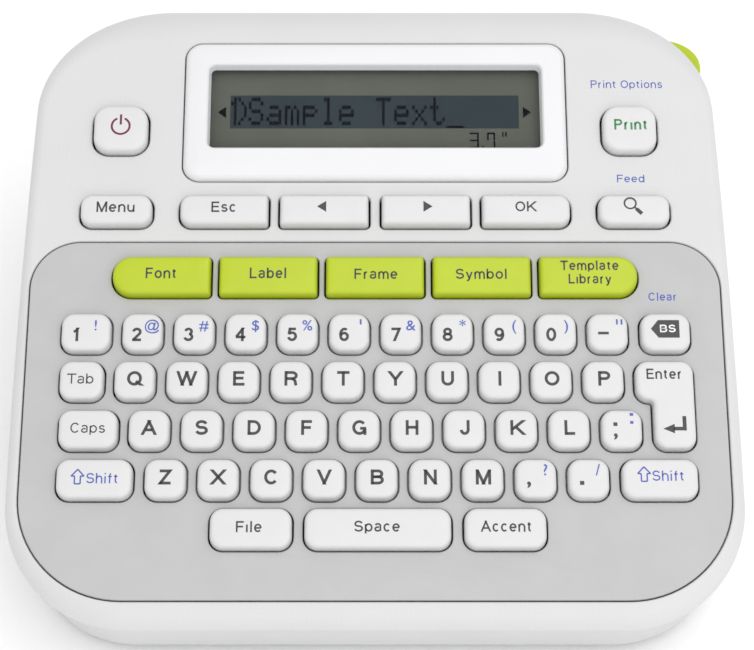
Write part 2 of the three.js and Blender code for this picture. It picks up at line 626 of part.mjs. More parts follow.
function batteryContacts(y, inward) {
  const x = [BATTERY_BAY.x[0] + 0.8, BATTERY_BAY.x[1] - 0.8];
  const plate = block(x, [Math.min(y, y + 0.5 * inward), Math.max(y, y + 0.5 * inward)], [5, 27.2]);
  const springs = [];
  for (const column of [0, 1, 2]) {
    for (const row of [0, 1]) {
      const cone = new THREE.CylinderGeometry(1.4, 3.2, 3.2, 6);
      if (inward < 0) cone.rotateX(Math.PI);
      cone.translate(x[0] + 5.8 + column * 11.4, y + inward * 1.9, 10.6 + row * 11);
      springs.push(solid(cone));
    }
  }
  return geometryOf(join(plate, ...springs));
}

// ---------- cutter ----------
function cutterLever() {
  const { from, to, radius, bulge, steps } = LEVER_FACE;
  const face = [];
  for (let step = 0; step <= steps; step += 1) {
    const share = step / steps;
    const reach = radius + bulge * Math.sin(Math.PI * share) ** 0.7;
    face.push(beside(LEVER_CENTRE, reach, from + (to - from) * share));
  }
  const back = outlineOf([[61.4, 61.6], [61.4, 59.8], [64.5, 54], [67.4, 46]]);
  const button = prism([...face, ...back], LEVER_Z[0], LEVER_Z[1]);
  const arm = block([67.2, 70.6], [23.6, 48], [LEVER_Z[0], 49.2]);
  return geometryOf(cut(join(button, arm), cylinder(LEVER_PIVOT, BORE_RADIUS, 30, 60)));
}

function cutterBlade() {
  const post = block([57.4, 61], [58.6, 62.2], BLADE_Z);
  const edge = outlineOf([[55.3, 60.4], [57.6, 59.7], [57.6, 61.1]]);
  return geometryOf(post.add(prism(edge, BLADE_Z[0] + 1, 22)));
}

class Helix extends THREE.Curve {
  constructor(start, length, radius, turns) {
    super();
    Object.assign(this, { start, length, radius, turns });
  }

  getPoint(t, target = new THREE.Vector3()) {
    const angle = t * this.turns * Math.PI * 2;
    return target.set(
      this.start.x + this.length * t,
      this.start.y + this.radius * Math.cos(angle),
      this.start.z + this.radius * Math.sin(angle));
  }
}

function cutterSpring() {
  const section = new THREE.Shape();
  section.absarc(0, 0, SPRING.wire, 0, Math.PI * 2);
  const path = new Helix(new THREE.Vector3(...SPRING.start), SPRING.length, SPRING.radius, SPRING.turns);
  const coil = new THREE.ExtrudeGeometry(section, { curveSegments: 3, steps: 35, extrudePath: path });
  return geometryOf(solid(coil));
}

// ---------- power inlet, feet, screws ----------
function dcJack() {
  const along = (radius, low, high, sides) => {
    const rod = new THREE.CylinderGeometry(radius, radius, high - low, sides).rotateZ(Math.PI / 2);
    return solid(rod.translate((low + high) / 2, JACK.y, JACK.z));
  };
  const housing = block(
    JACK.x,
    [JACK.y - JACK.halfWidth, JACK.y + JACK.halfWidth],
    [JACK.z - JACK.halfHeight, JACK.z + JACK.halfHeight]);
  const barrel = along(JACK.barrel, JACK.mouth, JACK.x[0] + 0.4, 16);
  const bore = along(JACK.bore, JACK.mouth - 7.4, -60.5, 12);
  const pin = along(0.9, -65, -60, 8);
  return geometryOf(join(cut(join(housing, barrel), bore), pin));
}

function screw(post) {
  const head = cylinder(post, SCREW.head, SCREW.headLow, SCREW.headHigh, 10);
  const shank = cylinder(post, SCREW.shank, SCREW.headHigh - 0.2, SCREW.tip, 8);
  const slot = block(
    [post.x - SCREW.slot / 2, post.x + SCREW.slot / 2],
    [post.y - 2, post.y + 2],
    [SCREW.headLow - 1, SCREW.headLow + SCREW.slotDepth]);
  return geometryOf(cut(join(head, shank), slot));
}

// ---------- assembly ----------
const labelMaker = new THREE.Group();
const deck = new THREE.Group();
deck.position.copy(DECK_ORIGIN);
deck.rotation.x = DECK_TILT;
labelMaker.add(deck);

function place(parent, name, geometry, material) {
  const mesh = new THREE.Mesh(geometry, material);
  mesh.name = name;
  parent.add(mesh);
}

place(labelMaker, 'upper_casing', upperCasing(), white());
place(labelMaker, 'lower_casing', lowerCasing(), white());
place(labelMaker, 'back_cover', backCover(), white());
place(deck, 'keyboard_plate', keyboardPlate(), grey());
place(deck, 'display_frame', displayFrame(), glossWhite());
place(deck, 'display_window', geometryOf(block(PANE.x, PANE.y, PANE.window)), finish(0x9aa39a, 0.05));
place(deck, 'lcd_panel', geometryOf(block(PANE.x, PANE.y, PANE.lcd)), finish(0x646a5c, 0.35));

for (const [name, key] of Object.entries({ ...CASING_KEYS, ...PLATE_KEYS })) {
  place(deck, name, singleKey(key), keyWhite());
}
for (const [name, key] of Object.entries(GREEN_KEYS)) place(deck, name, singleKey(key), lime());
for (const [name, keys] of Object.entries(LETTER_ROWS)) place(deck, name, keyRow(keys), keyWhite());

place(deck, 'contact_sheet', contactSheet(), silicone());
place(deck, 'main_circuit_board', circuitBoard(), boardGreen());

place(labelMaker, 'mechanism_frame', mechanismFrame(), darkPlastic());
place(labelMaker, 'feed_motor', feedMotor(), steel());
place(labelMaker, 'motor_pinion', motorPinion(), finish(0xc9a45a, 0.35, 1));
place(labelMaker, 'reduction_gear', reductionGear(), acetal());
place(labelMaker, 'take_up_spindle', takeUpSpindle(), acetal());
place(labelMaker, 'platen_roller', platenRoller(), rubber());
place(labelMaker, 'platen_holder', platenHolder(), darkPlastic());
place(labelMaker, 'print_head', printHead(), finish(0xd8cdb4, 0.3));
place(labelMaker, 'head_heat_sink', heatSink(), aluminium());
place(labelMaker, 'tape_cassette', tapeCassette(), finish(0x5a5d60, 0.4));
place(labelMaker, 'cutter_lever', cutterLever(), lime());
place(labelMaker, 'cutter_blade', cutterBlade(), steel());
place(labelMaker, 'cutter_spring', cutterSpring(), steel());
place(labelMaker, 'battery_contacts_front', batteryContacts(BATTERY_BAY.y[0] + 0.3, 1), steel());
place(labelMaker, 'battery_contacts_rear', batteryContacts(BATTERY_BAY.y[1] - 0.3, -1), steel());
place(labelMaker, 'dc_jack', dcJack(), darkPlastic());

for (const [side, sign] of [['left', -1], ['right', 1]]) {
  for (const end of ['front', 'rear']) {
    const centre = { x: sign * FOOT[end].x, y: FOOT[end].y };
    place(labelMaker, `foot_${end}_${side}`, geometryOf(cylinder(centre, FOOT.radius, 0, BASE_Z)), rubber());
  }
}
const screwNames = ['front_left', 'front_right', 'rear_left', 'rear_right'];
POSTS.forEach((post, i) => place(labelMaker, `casing_screw_${screwNames[i]}`, screw(post), steel()));

export default labelMaker;
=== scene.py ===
import math

import bpy
from mathutils import Matrix, Vector


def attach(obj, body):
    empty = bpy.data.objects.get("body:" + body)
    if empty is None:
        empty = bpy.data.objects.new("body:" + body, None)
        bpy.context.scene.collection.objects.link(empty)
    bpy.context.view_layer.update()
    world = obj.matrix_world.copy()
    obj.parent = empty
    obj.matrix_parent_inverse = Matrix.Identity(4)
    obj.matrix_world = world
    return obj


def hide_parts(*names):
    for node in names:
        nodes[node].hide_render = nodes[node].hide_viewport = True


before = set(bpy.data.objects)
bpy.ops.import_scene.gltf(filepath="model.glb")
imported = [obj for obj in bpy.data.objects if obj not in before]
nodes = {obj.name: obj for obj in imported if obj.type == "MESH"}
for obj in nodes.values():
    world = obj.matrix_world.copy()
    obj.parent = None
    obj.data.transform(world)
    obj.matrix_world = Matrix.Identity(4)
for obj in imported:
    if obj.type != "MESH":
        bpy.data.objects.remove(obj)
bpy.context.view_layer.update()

MM = 0.001
TILT = math.radians(18)
DECK_ORIGIN = Vector((0, -12.3, 45.87))
DECK = Matrix.Translation(DECK_ORIGIN) @ Matrix.Rotation(TILT, 4, "X")
ROW_FRAME = Matrix.Identity(4)
FLARE_STEPS = 5
CUTTER_TOP = 3.0


# ---- outlines ----
def rectangle(u, v, width, height):
    """Corners of a rectangle from its centre and size, anticlockwise from the lower left."""
    a, b = width / 2, height / 2
    return [(u - a, v - b), (u + a, v - b), (u + a, v + b), (u - a, v + b)]


def span(x, y):
    """Corners of a rectangle from its limits."""
    return [(x[0], y[0]), (x[1], y[0]), (x[1], y[1]), (x[0], y[1])]


def quarter(steps):
    """Angles from none to a right angle."""
    return [step / steps * math.pi / 2 for step in range(steps + 1)]


def rounded(corners, radii, inset=0.0, steps=8):
    """A right-angled polygon moved in by inset, with each corner rounded; points are (x, y)."""
    count = len(corners)
    if not isinstance(radii, (list, tuple)):
        radii = [radii] * count
    points = []
    for i in range(count):
        corner = Vector(corners[i])
        before = (Vector(corners[i - 1]) - corner).normalized()
        after = (Vector(corners[(i + 1) % count]) - corner).normalized()
        side = 1 if before.cross(after) < 0 else -1
        place = corner + (before + after) * inset * side
        radius = max(0.1, radii[i] - inset * side)
        centre = place + (before + after) * radius
        for angle in quarter(steps):
            points.append(centre - after * radius * math.cos(angle) - before * radius * math.sin(angle))
    return points


def circle(x, y, radius, sides=40):
    turns = [2 * math.pi * i / sides for i in range(sides)]
    return [(x + radius * math.cos(a), y + radius * math.sin(a)) for a in turns]


def at(outline, height):
    return [(p[0], p[1], height) for p in outline]


# ---- solids ----
def solid(rings, matrix=ROW_FRAME):
    """A closed skin through rings of points, lowest first, each anticlockwise from above."""
    count = len(rings[0])
    points = [matrix @ Vector(p) for ring in rings for p in ring]
    faces = []
    for level in range(len(rings) - 1):
        a, b = level * count, (level + 1) * count
        for i in range(count):
            j = (i + 1) % count
            faces.append((a + i, a + j, b + j, b + i))
    last = (len(rings) - 1) * count
    faces.append(tuple(reversed(range(count))))
    faces.append(tuple(range(last, last + count)))
    return points, faces


def layered(outline, rings, matrix=ROW_FRAME):
    """A solid through outline(inset) at each (inset, height)."""
    return solid([at(outline(inset), height) for inset, height in rings], matrix)


def prism(outline, low, high, matrix=ROW_FRAME):
    return solid([at(outline, low), at(outline, high)], matrix)


def block(x, y, z, matrix=ROW_FRAME):
    return prism(span(x, y), z[0], z[1], matrix)


def cylinder(x, y, radius, low, high, sides=40, matrix=ROW_FRAME):
    return prism(circle(x, y, radius, sides), low, high, matrix)


def together(*parts):
    """Several separate solids as one."""
    points, faces = [], []
    for part_points, part_faces in parts:
        start = len(points)
        points += part_points
        faces += [tuple(start + i for i in face) for face in part_faces]
    return points, faces


def fillet(radius, steps, from_inset, top):
    """(inset, height) pairs up a convex quarter round that ends level with top."""
    return [(from_inset + radius * (1 - math.cos(angle)), top - radius * (1 - math.sin(angle)))
            for angle in quarter(steps)]


def flared(outline, gap, flare, bottom):
    """A cutter whose top flares, so that what it cuts has a rounded rim. outline takes an inset."""
    rings = [at(outline(-gap), bottom)]
    rings += [at(outline(-gap - inset), n) for inset, n in fillet(flare, FLARE_STEPS, 0.0, 0.0)]
    rings.append(at(outline(-gap - flare), CUTTER_TOP))
    return rings


def mesh_object(name, points, faces, scale=1.0):
    mesh = bpy.data.meshes.new(name)
    mesh.from_pydata([Vector(p) * scale for p in points], [], faces)
    mesh.update()
    obj = bpy.data.objects.new(name, mesh)
    bpy.context.scene.collection.objects.link(obj)
    return obj


def taken(target, *tools):
    """The finished mesh of target as points and faces; target and tools are removed."""
    bpy.context.view_layer.update()
    graph = bpy.context.evaluated_depsgraph_get()
    mesh = bpy.data.meshes.new_from_object(target.evaluated_get(graph))
    points = [v.co.copy() for v in mesh.vertices]
    faces = [tuple(p.vertices) for p in mesh.polygons]
    for obj in (target, *tools):
        bpy.data.objects.remove(obj)
    bpy.data.meshes.remove(mesh)
    return points, faces


CUT, ADD, KEEP = "DIFFERENCE", "UNION", "INTERSECT"


def combined(base, *steps):
    """base with each (operation, solid) applied in turn; all in millimetres in the row frame."""
    target = mesh_object("work", *base)
    tools = []
    for operation, other in steps:
        tool = mesh_object("tool", *other)
        tools.append(tool)
        modifier = target.modifiers.new("cut", "BOOLEAN")
        modifier.operation = operation
        modifier.solver = "MANIFOLD"
        modifier.object = tool
    return taken(target, *tools)


# ---- pieces ----
SHARP = math.radians(32)


def piece(name, body, shape, material, replaces=(), smooth=True):
    """A finished piece from a solid in millimetres in the row frame."""
    obj = mesh_object(name, *shape, scale=MM)
    obj.data.materials.append(material)
    if smooth:
        obj.data.shade_smooth()
        obj.data.set_sharp_from_angle(angle=SHARP)
        weighted = obj.modifiers.new("normals", "WEIGHTED_NORMAL")
        weighted.keep_sharp = True
        weighted.weight = 80
    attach(obj, body)
    if replaces:
        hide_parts(*replaces)
    return obj


# ---- materials ----
def linear(red, green, blue):
    """A colour given as 0 to 255 screen values."""
    def one(value):
        share = value / 255
        return share / 12.92 if share <= 0.04045 else ((share + 0.055) / 1.055) ** 2.4
    return (one(red), one(green), one(blue), 1)


def shaded(colour, factor):
    return tuple(min(1.0, c * factor) for c in colour[:3]) + (1,)


class Nodes:
    """A material's node tree, with short calls for the nodes that the finishes share."""

    def __init__(self, name):
        self.material = bpy.data.materials.new(name)
        self.material.use_nodes = True
        self.tree = self.material.node_tree
        self.tree.nodes.clear()
        self.shader = self.add("ShaderNodeBsdfPrincipled")
        output = self.add("ShaderNodeOutputMaterial")
        self.link(self.shader.outputs["BSDF"], output.inputs["Surface"])
        coordinates = self.add("ShaderNodeTexCoord")
        place = self.add("ShaderNodeMapping", {"Rotation": (-TILT, 0, 0), "Scale": (1 / MM,) * 3})
        self.link(coordinates.outputs["Object"], place.inputs["Vector"])
        self.where = place.outputs["Vector"]

    def add(self, kind, values=None, **settings):
        """A node with these input values and settings."""
        node = self.tree.nodes.new(kind)
        for key, value in settings.items():
            setattr(node, key, value)
        for key, value in (values or {}).items():
            node.inputs[key].default_value = value
        return node

    def link(self, source, target):
        self.tree.links.new(source, target)

    def noise(self, size, detail=3.0, roughness=0.55, stretch=(1, 1, 1)):
        """Noise with features about size millimetres across."""
        where = self.where
        if stretch != (1, 1, 1):
            mapping = self.add("ShaderNodeMapping", {"Scale": stretch})
            self.link(where, mapping.inputs["Vector"])
            where = mapping.outputs["Vector"]
        node = self.add("ShaderNodeTexNoise", {"Scale": 1 / size, "Detail": detail, "Roughness": roughness})
        self.link(where, node.inputs["Vector"])
        return node.outputs["Fac"]

    def cells(self, size):
        node = self.add("ShaderNodeTexVoronoi", {"Scale": 1 / size})
        self.link(self.where, node.inputs["Vector"])
        return node.outputs["Distance"]

    def math(self, operation, a, b=None, c=None):
        node = self.add("ShaderNodeMath", operation=operation)
        for socket, value in zip(node.inputs, (a, b, c)):
            if value is None:
                continue
            if isinstance(value, (int, float)):
                socket.default_value = value
            else:
                self.link(value, socket)
        return node.outputs[0]

    def spread(self, source, low, high, from_low=0.3, from_high=0.7):
        node = self.add("ShaderNodeMapRange", {
            "From Min": from_low, "From Max": from_high, "To Min": low, "To Max": high})
        self.link(source, node.inputs["Value"])
        return node.outputs["Result"]

    def blend(self, factor, a, b):
        node = self.add("ShaderNodeMix", data_type="RGBA")
        self.link(factor, node.inputs["Factor"])
        for socket, value in ((node.inputs[6], a), (node.inputs[7], b)):
            if isinstance(value, tuple):
                socket.default_value = value
            else:
                self.link(value, socket)
        return node.outputs[2]

    def raised(self, height, depth, strength=1.0, over=None):
        """Bump of depth millimetres."""
        node = self.add("ShaderNodeBump", {"Strength": strength, "Distance": depth * MM})
        self.link(height, node.inputs["Height"])
        if over is not None:
            self.link(over, node.inputs["Normal"])
        return node.outputs["Normal"]

    def set(self, **sockets):
        for key, value in sockets.items():
            socket = self.shader.inputs[key.replace("_", " ")]
            if isinstance(value, (int, float, tuple)):
                socket.default_value = value
            else:
                self.link(value, socket)
        return self


def moulded(name, colour, roughness, patch=14.0, change=0.03, grain=0.25, depth=0.012, **sockets):
    """Moulded plastic or rubber: slow changes of tone, fine grain, and roughness that varies."""
    made = Nodes(name)
    tone = made.spread(made.noise(patch, 2.0), 0, 1)
    fine = made.noise(grain, 2.0, 0.6)
    speck = made.spread(made.noise(grain * 3, 4.0), 0, 1)
    slow = made.blend(tone, shaded(colour, 1 - change), shaded(colour, 1 + change / 2))
    base = made.blend(made.math("MULTIPLY", speck, change), slow, shaded(colour, 0.6))
    made.set(Base_Color=base)
    made.set(Roughness=made.spread(made.noise(patch / 3), roughness * 0.88, roughness * 1.12))
    made.set(Normal=made.raised(fine, depth), **sockets)
    return made.material


def metal(name, colour, roughness, stretch=(1, 1, 1), depth=0.006):
    """Bare metal with fine drawn lines and smudged roughness."""
    made = Nodes(name)
    lines = made.noise(0.5, 3.0, 0.6, stretch)
    base = made.blend(made.spread(lines, 0, 1), shaded(colour, 0.86), shaded(colour, 1.06))
    made.set(Base_Color=base, Metallic=1.0, Normal=made.raised(lines, depth))
    made.set(Roughness=made.spread(made.noise(4.0), roughness * 0.75, roughness * 1.35))
    return made.material


def casing_plastic(name, colour, roughness, pitch=1.03):
    """White casing plastic with a very faint square weave moulded into it."""
    made = Nodes(name)
    split = made.add("ShaderNodeSeparateXYZ")
    made.link(made.where, split.inputs["Vector"])
    ridges = []
    for axis in ("X", "Y"):
        wave = made.math("SINE", made.math("MULTIPLY", split.outputs[axis], 2 * math.pi / pitch))
        ridges.append(made.math("POWER", made.math("MAXIMUM", wave, 0.0), 3.0))
    weave = made.math("MAXIMUM", *ridges)
    tone = made.spread(made.noise(18.0, 2.0), 0, 1)
    slow = made.blend(tone, shaded(colour, 0.985), shaded(colour, 1.01))
    base = made.blend(made.math("MULTIPLY", weave, 0.07), slow, shaded(colour, 0.82))
    grain = made.raised(made.noise(0.3, 2.0, 0.6), 0.008)
    made.set(Base_Color=base)
    made.set(Roughness=made.spread(made.noise(5.0), roughness * 0.9, roughness * 1.1))
    made.set(Normal=made.raised(weave, 0.012, 0.6, grain))
    return made.material


def ink(name, colour):
    """Printed legend: nearly flat, slightly uneven colour."""
    return moulded(name, colour, 0.5, patch=1.2, change=0.08, grain=0.12, depth=0.003)


WHITE = casing_plastic("casing_white_plastic", linear(208, 208, 208), 0.5)
GLOSS = moulded("display_white_plastic", linear(222, 222, 224), 0.16, patch=20, change=0.015, depth=0.004)
GREY = moulded("plate_grey_plastic", linear(182, 182, 183), 0.42,
               patch=9, change=0.03, grain=0.2, depth=0.01)
KEY = moulded("key_white_plastic", linear(212, 212, 212), 0.38,
              patch=7, change=0.015, grain=0.18, depth=0.006)
LIME = moulded("lime_plastic", linear(178, 196, 22), 0.34, patch=8, change=0.03, grain=0.2, depth=0.006)
DARK = moulded("dark_plastic", linear(52, 54, 56), 0.5, patch=6, change=0.12, grain=0.3, depth=0.02)
ACETAL = moulded("acetal", linear(232, 228, 214), 0.42, patch=5, change=0.05, grain=0.25, depth=0.01)
RUBBER = moulded("rubber", linear(44, 44, 45), 0.82, patch=3, change=0.2, grain=0.15, depth=0.03)
SILICONE = moulded("silicone_sheet", linear(58, 60, 63), 0.8, patch=5, change=0.08, grain=0.3, depth=0.02)
SHELL = moulded("cassette_shell", linear(92, 95, 98), 0.4, patch=7, change=0.1, grain=0.25, depth=0.015)
CERAMIC = moulded("head_ceramic", linear(216, 206, 182), 0.3, patch=2, change=0.1, grain=0.1, depth=0.005)
STEEL = metal("steel", linear(186, 189, 193), 0.3, (1, 12, 1))
SPRING = metal("spring_steel", linear(196, 198, 200), 0.25)
BRASS = metal("brass", linear(205, 170, 100), 0.32)
ALUMINIUM = metal("aluminium", linear(200, 203, 205), 0.36, (1, 1, 14))
INK_DARK = ink("legend_dark", linear(62, 62, 64))
INK_BLUE = ink("legend_blue", linear(82, 96, 178))
INK_PURPLE = ink("legend_purple", linear(112, 34, 76))
INK_GREEN = ink("legend_green", linear(58, 132, 78))
INK_WHITE = ink("legend_white", linear(236, 236, 236))


def circuit_board():
    """Solder resist with copper tracks showing through."""
    made = Nodes("circuit_board")
    brick = made.add("ShaderNodeTexBrick", {"Scale": 0.2, "Mortar Size": 0.02})
    made.link(made.where, brick.inputs["Vector"])
    tracks = brick.outputs["Fac"]
    resist = made.blend(made.spread(made.noise(8.0), 0, 1), linear(36, 92, 62), linear(50, 114, 78))
    made.set(Base_Color=made.blend(tracks, resist, linear(96, 150, 96)))
    made.set(Roughness=made.spread(made.noise(3), 0.35, 0.5))
    made.set(Normal=made.raised(tracks, 0.03))
    return made.material


def lcd_glass(name, colour, roughness):
    """The display's own layer: muted colour with a fine cell pattern."""
    made = Nodes(name)
    cell = made.math("MULTIPLY", made.spread(made.cells(0.42), 0, 1, 0.1, 0.5), 0.05)
    tone = made.blend(made.spread(made.noise(16.0, 2.0), 0, 1), shaded(colour, 0.93), shaded(colour, 1.06))
    made.set(Base_Color=made.blend(cell, tone, shaded(colour, 0.75)))
    made.set(Roughness=made.spread(made.noise(6.0), roughness * 0.9, roughness * 1.15))
    made.set(Normal=made.raised(made.noise(0.6, 2.0), 0.003), Specular_IOR_Level=0.0)
    return made.material


def clear_window():
    made = Nodes("window_clear")
    made.set(Base_Color=linear(52, 56, 52), IOR=1.49, Specular_IOR_Level=0.3)
    made.set(Alpha=made.spread(made.noise(22.0, 2.0), 0.02, 0.035))
    made.set(Roughness=made.spread(made.noise(12.0), 0.02, 0.06))
    made.set(Normal=made.raised(made.noise(9.0, 2.0), 0.002))
    return made.material


BOARD_GREEN = circuit_board()
LCD = lcd_glass("lcd_olive", linear(97, 100, 93), 0.5)
LCD_BAND = lcd_glass("lcd_band", linear(57, 66, 71), 0.5)
LCD_MARK = lcd_glass("lcd_mark", linear(24, 27, 31), 0.5)
CLEAR = clear_window()

# ---- casing outline ----
PARTING_DEPTH = 12.5
SEAM = 0.3
WALL = 2.2
UNDERCUT = 3.0
BASE_Z = 1.5
FLOOR = 2.2
CORNER_STEPS = 22
SIDE_STEPS = 8


def casing_outline(half, rear_half, front, back, front_corner, rear_corner):
    """(x, y, normal x, normal y) round the casing, with slightly barrelled sides."""
    right = []

    def arc(x, y, radius, start, end):
        for step in range(CORNER_STEPS + 1):
            angle = math.radians(start + (end - start) * step / CORNER_STEPS)
            c, s = math.cos(angle), math.sin(angle)
            right.append((x + radius * c, y + radius * s, c, s))

    low, high = front + front_corner, back - rear_corner
    arc(half - front_corner, low, front_corner, -90, 0)
    for step in range(1, SIDE_STEPS):
        t = step / SIDE_STEPS
        right.append((half + (rear_half - half) * t * t, low + (high - low) * t, 1.0, 0.0))
    arc(rear_half - rear_corner, high, rear_corner, 0, 90)
    left = [(-x, y, -a, b) for x, y, a, b in reversed(right)]
    return right + left


CASING = casing_outline(78.5, 76.6, -66.75, 81.7, 26.5, 30)
BASE = casing_outline(75, 74, -67.5, 74.55, 23.5, 26)


def edge_radius(ny):
    """Small at the sides, a bullnose in front, a soft roll at the back."""
    return 2.5 + 9.5 * max(0, ny) ** 1.6 + 2.25 * max(0, -ny)


def undercut(ny):
    return UNDERCUT * (1 - max(0, ny))


def skin_ring(inset, depth):
    return [(x - inset(b) * a, y - inset(b) * b, -depth(b)) for x, y, a, b in CASING]


def edge_ring(degrees):
    angle = math.radians(degrees)
    return skin_ring(
        lambda ny: edge_radius(ny) * (1 - math.sin(angle)),
        lambda ny: edge_radius(ny) * (1 - math.cos(angle)))


# ---- key layout, in deck coordinates ----
PITCH = 11.2
KEY_HEIGHT = 8.8
KEY_CORNER = 2.8
KEY_RISE = 2.3
KEY_GAP = 0.36
ROW = {"power": 46.6, "menu": 26.7, "green": 11.0, "number": -2.3, "q": -13.3, "a": -24.4, "z": -35.4,
       "space": -46.2}
SQUARE = 0.8
ROUND_END = 2.6
GREEN_END = 4.3


def key(u, v, width, height=KEY_HEIGHT, radii=KEY_CORNER):
    return rectangle(u, v, width, height), radii


def right_round(end, other=SQUARE):
    return [other, end, end, other]


def left_round(end, other=SQUARE):
    return [end, other, other, end]


CASING_KEYS = {
    "key_power": key(-57.1, ROW["power"], 12.1, 11.3, 3.6),
    "key_print": key(57.1, ROW["power"], 12.1, 11.3, 3.6),
    "key_menu": key(-57.3, ROW["menu"], 15.8, 7.2, ROUND_END),
    "key_escape": key(-33.4, ROW["menu"], 19.5, 7.2, left_round(ROUND_END)),
    "key_left": key(-11.25, ROW["menu"], 19.6, 7.2, SQUARE),
    "key_right": key(11.25, ROW["menu"], 19.6, 7.2, SQUARE),
    "key_ok": key(33.4, ROW["menu"], 19.5, 7.2, right_round(ROUND_END)),
    "key_zoom": key(57.3, ROW["menu"], 15.8, 7.2, ROUND_END),
}
GREEN_RADII = {"key_font": left_round(GREEN_END), "key_template": right_round(GREEN_END)}
GREEN_KEYS = {
    name: key(place * 23.35, ROW["green"], 21.5, 9.1, GREEN_RADII.get(name, SQUARE))
    for place, name in enumerate(("key_font", "key_label", "key_frame", "key_symbol", "key_template"), -2)
}
ENTER_CORNERS = [(59.5, -28.8), (68.5, -28.8), (68.5, -8.9), (55.9, -8.9), (55.9, -17.9), (59.5, -17.9)]
PLATE_KEYS = {
    "key_backspace": key(62.9, ROW["number"], 10.8),
    "key_tab": key(-63.1, ROW["q"], 9.5),
    "key_enter": (ENTER_CORNERS, [KEY_CORNER] * 5 + [0.9]),
    "key_caps": key(-61.2, ROW["a"], 12.7),
    "key_shift_left": key(-59.4, ROW["z"], 16.2),
    "key_shift_right": key(60.3, ROW["z"], 16.2),
    "key_file": key(-26.1, ROW["space"], 17.3),
    "key_space": key(0.6, ROW["space"], 30.9),
    "key_accent": key(27.4, ROW["space"], 17.3),
}


def letter_row(first, v, count):
    return [key(first + i * PITCH, v, KEY_HEIGHT) for i in range(count)]


LETTER_ROWS = {
    "number_key_row": [key(-62.6, ROW["number"], 10.8)] + letter_row(-50.4, ROW["number"], 10),
    "upper_letter_row": letter_row(-51.7, ROW["q"], 10),
    "middle_letter_row": letter_row(-48.2, ROW["a"], 10),
    "lower_letter_row": letter_row(-44.4, ROW["z"], 9),
}


def outline_of(corners_and_radii):
    corners, radii = corners_and_radii
    return lambda inset: rounded(corners, radii, inset)


def cap(corners_and_radii, bottom=-3.3):
    """A key cap: straight skirt, soft shoulder and a faintly crowned top."""
    crown = [(inset, KEY_RISE - drop) for inset, drop in ((1.6, 0.06), (2.3, 0.02), (3.1, 0.0))]
    shoulder = fillet(0.95, 7, 0.12, KEY_RISE - 0.1)
    return layered(outline_of(corners_and_radii), [(0, bottom), (0, 0.4), *shoulder, *crown], DECK)


# ---- upper casing ----
PLATE_CORNERS = span((-75.5, 75.5), (-61.3, 19.5))
PLATE_RADII = [22.5, 22.5, 10.8, 10.8]
DISPLAY_CORNERS = span((-43, 43), (34.4, 68.7))


def plate_outline(inset):
    return rounded(PLATE_CORNERS, PLATE_RADII, inset, 20)


def display_outline(inset):
    return rounded(DISPLAY_CORNERS, 3.8, inset, 10)


def polar(centre, radius, degrees):
    angle = math.radians(degrees)
    return centre[0] + radius * math.cos(angle), centre[1] + radius * math.sin(angle)


LEVER_CENTRE = (46.6, 41.5)
OPENING_INNER, OPENING_OUTER = 21, 40
OPENING_START, OPENING_TURN = 8, 47
OPENING_Z = (41.3, 61.7)


def lever_opening():
    """The slot in both casings round the lever: part of a ring about LEVER_CENTRE."""
    turns = [OPENING_START + OPENING_TURN * step / 16 for step in range(17)]
    slot = [polar(LEVER_CENTRE, OPENING_OUTER, turn) for turn in turns]
    slot += [polar(LEVER_CENTRE, OPENING_INNER, turn) for turn in (turns[-1], turns[0])]
    return prism(slot, *OPENING_Z)


def key_openings(keys, gap, flare, bottom):
    """Cutters for the openings round these keys, as one."""
    return together(*(solid(flared(outline_of(k), gap, flare, bottom), DECK) for k in keys))


def upper_casing():
    skirt = skin_ring(undercut, lambda ny: PARTING_DEPTH)
    outside = solid([skirt] + [edge_ring(90 - 9 * step) for step in range(11)], DECK)
    inside = solid([
        skin_ring(lambda ny: undercut(ny) + WALL, lambda ny: PARTING_DEPTH + 1),
        skin_ring(lambda ny: WALL + undercut(ny) * 0.3, lambda ny: max(edge_radius(ny), WALL + 1)),
        skin_ring(lambda ny: WALL + edge_radius(ny) * 0.45, lambda ny: WALL),
    ], DECK)
    ledge = combined(prism(plate_outline(-1), -4.2, -1, DECK), (KEEP, outside))
    recess = solid(flared(plate_outline, SEAM, 0.45, -2.3), DECK)
    key_well = prism(rounded(span((-70.9, 70.9), (-53.4, 16.6)), 8), -6, KEY_RISE, DECK)
    display_well = solid(flared(display_outline, 0.25, 0.35, -6), DECK)
    openings = key_openings(CASING_KEYS.values(), KEY_GAP + 0.08, 0.4, -6)
    return combined(
        outside, (CUT, inside), (ADD, ledge),
        *((CUT, cutter) for cutter in (recess, key_well, display_well, openings, lever_opening())))


piece("upper_casing_shell", "casing", upper_casing(), WHITE, ["upper_casing"])


# ---- keyboard plate ----
def keyboard_plate():
    plate = layered(plate_outline, [(0.0, -2.0), *fillet(0.3, 3, 0.0, 0.0)], DECK)
    keys = [k for row in LETTER_ROWS.values() for k in row]
    keys += [*GREEN_KEYS.values(), *PLATE_KEYS.values()]
    return combined(plate, (CUT, key_openings(keys, KEY_GAP, 0.25, -5)))


piece("keyboard_bezel", "casing", keyboard_plate(), GREY, ["keyboard_plate"])

# ---- keys ----
for name, shape in {**CASING_KEYS, **PLATE_KEYS}.items():
    piece(name + "_cap", name, cap(shape), KEY, [name])
for name, shape in GREEN_KEYS.items():
    piece(name + "_cap", name, cap(shape), LIME, [name])
for name, keys in LETTER_ROWS.items():
    low, high = keys[0][0][0], keys[-1][0][2]
    web = block((low[0], high[0]), (low[1], high[1]), (-3.3, -2.5), DECK)
    caps = [cap(shape, -2.6) for shape in keys]
    piece(name + "_caps", name, together(web, *caps), KEY, [name])


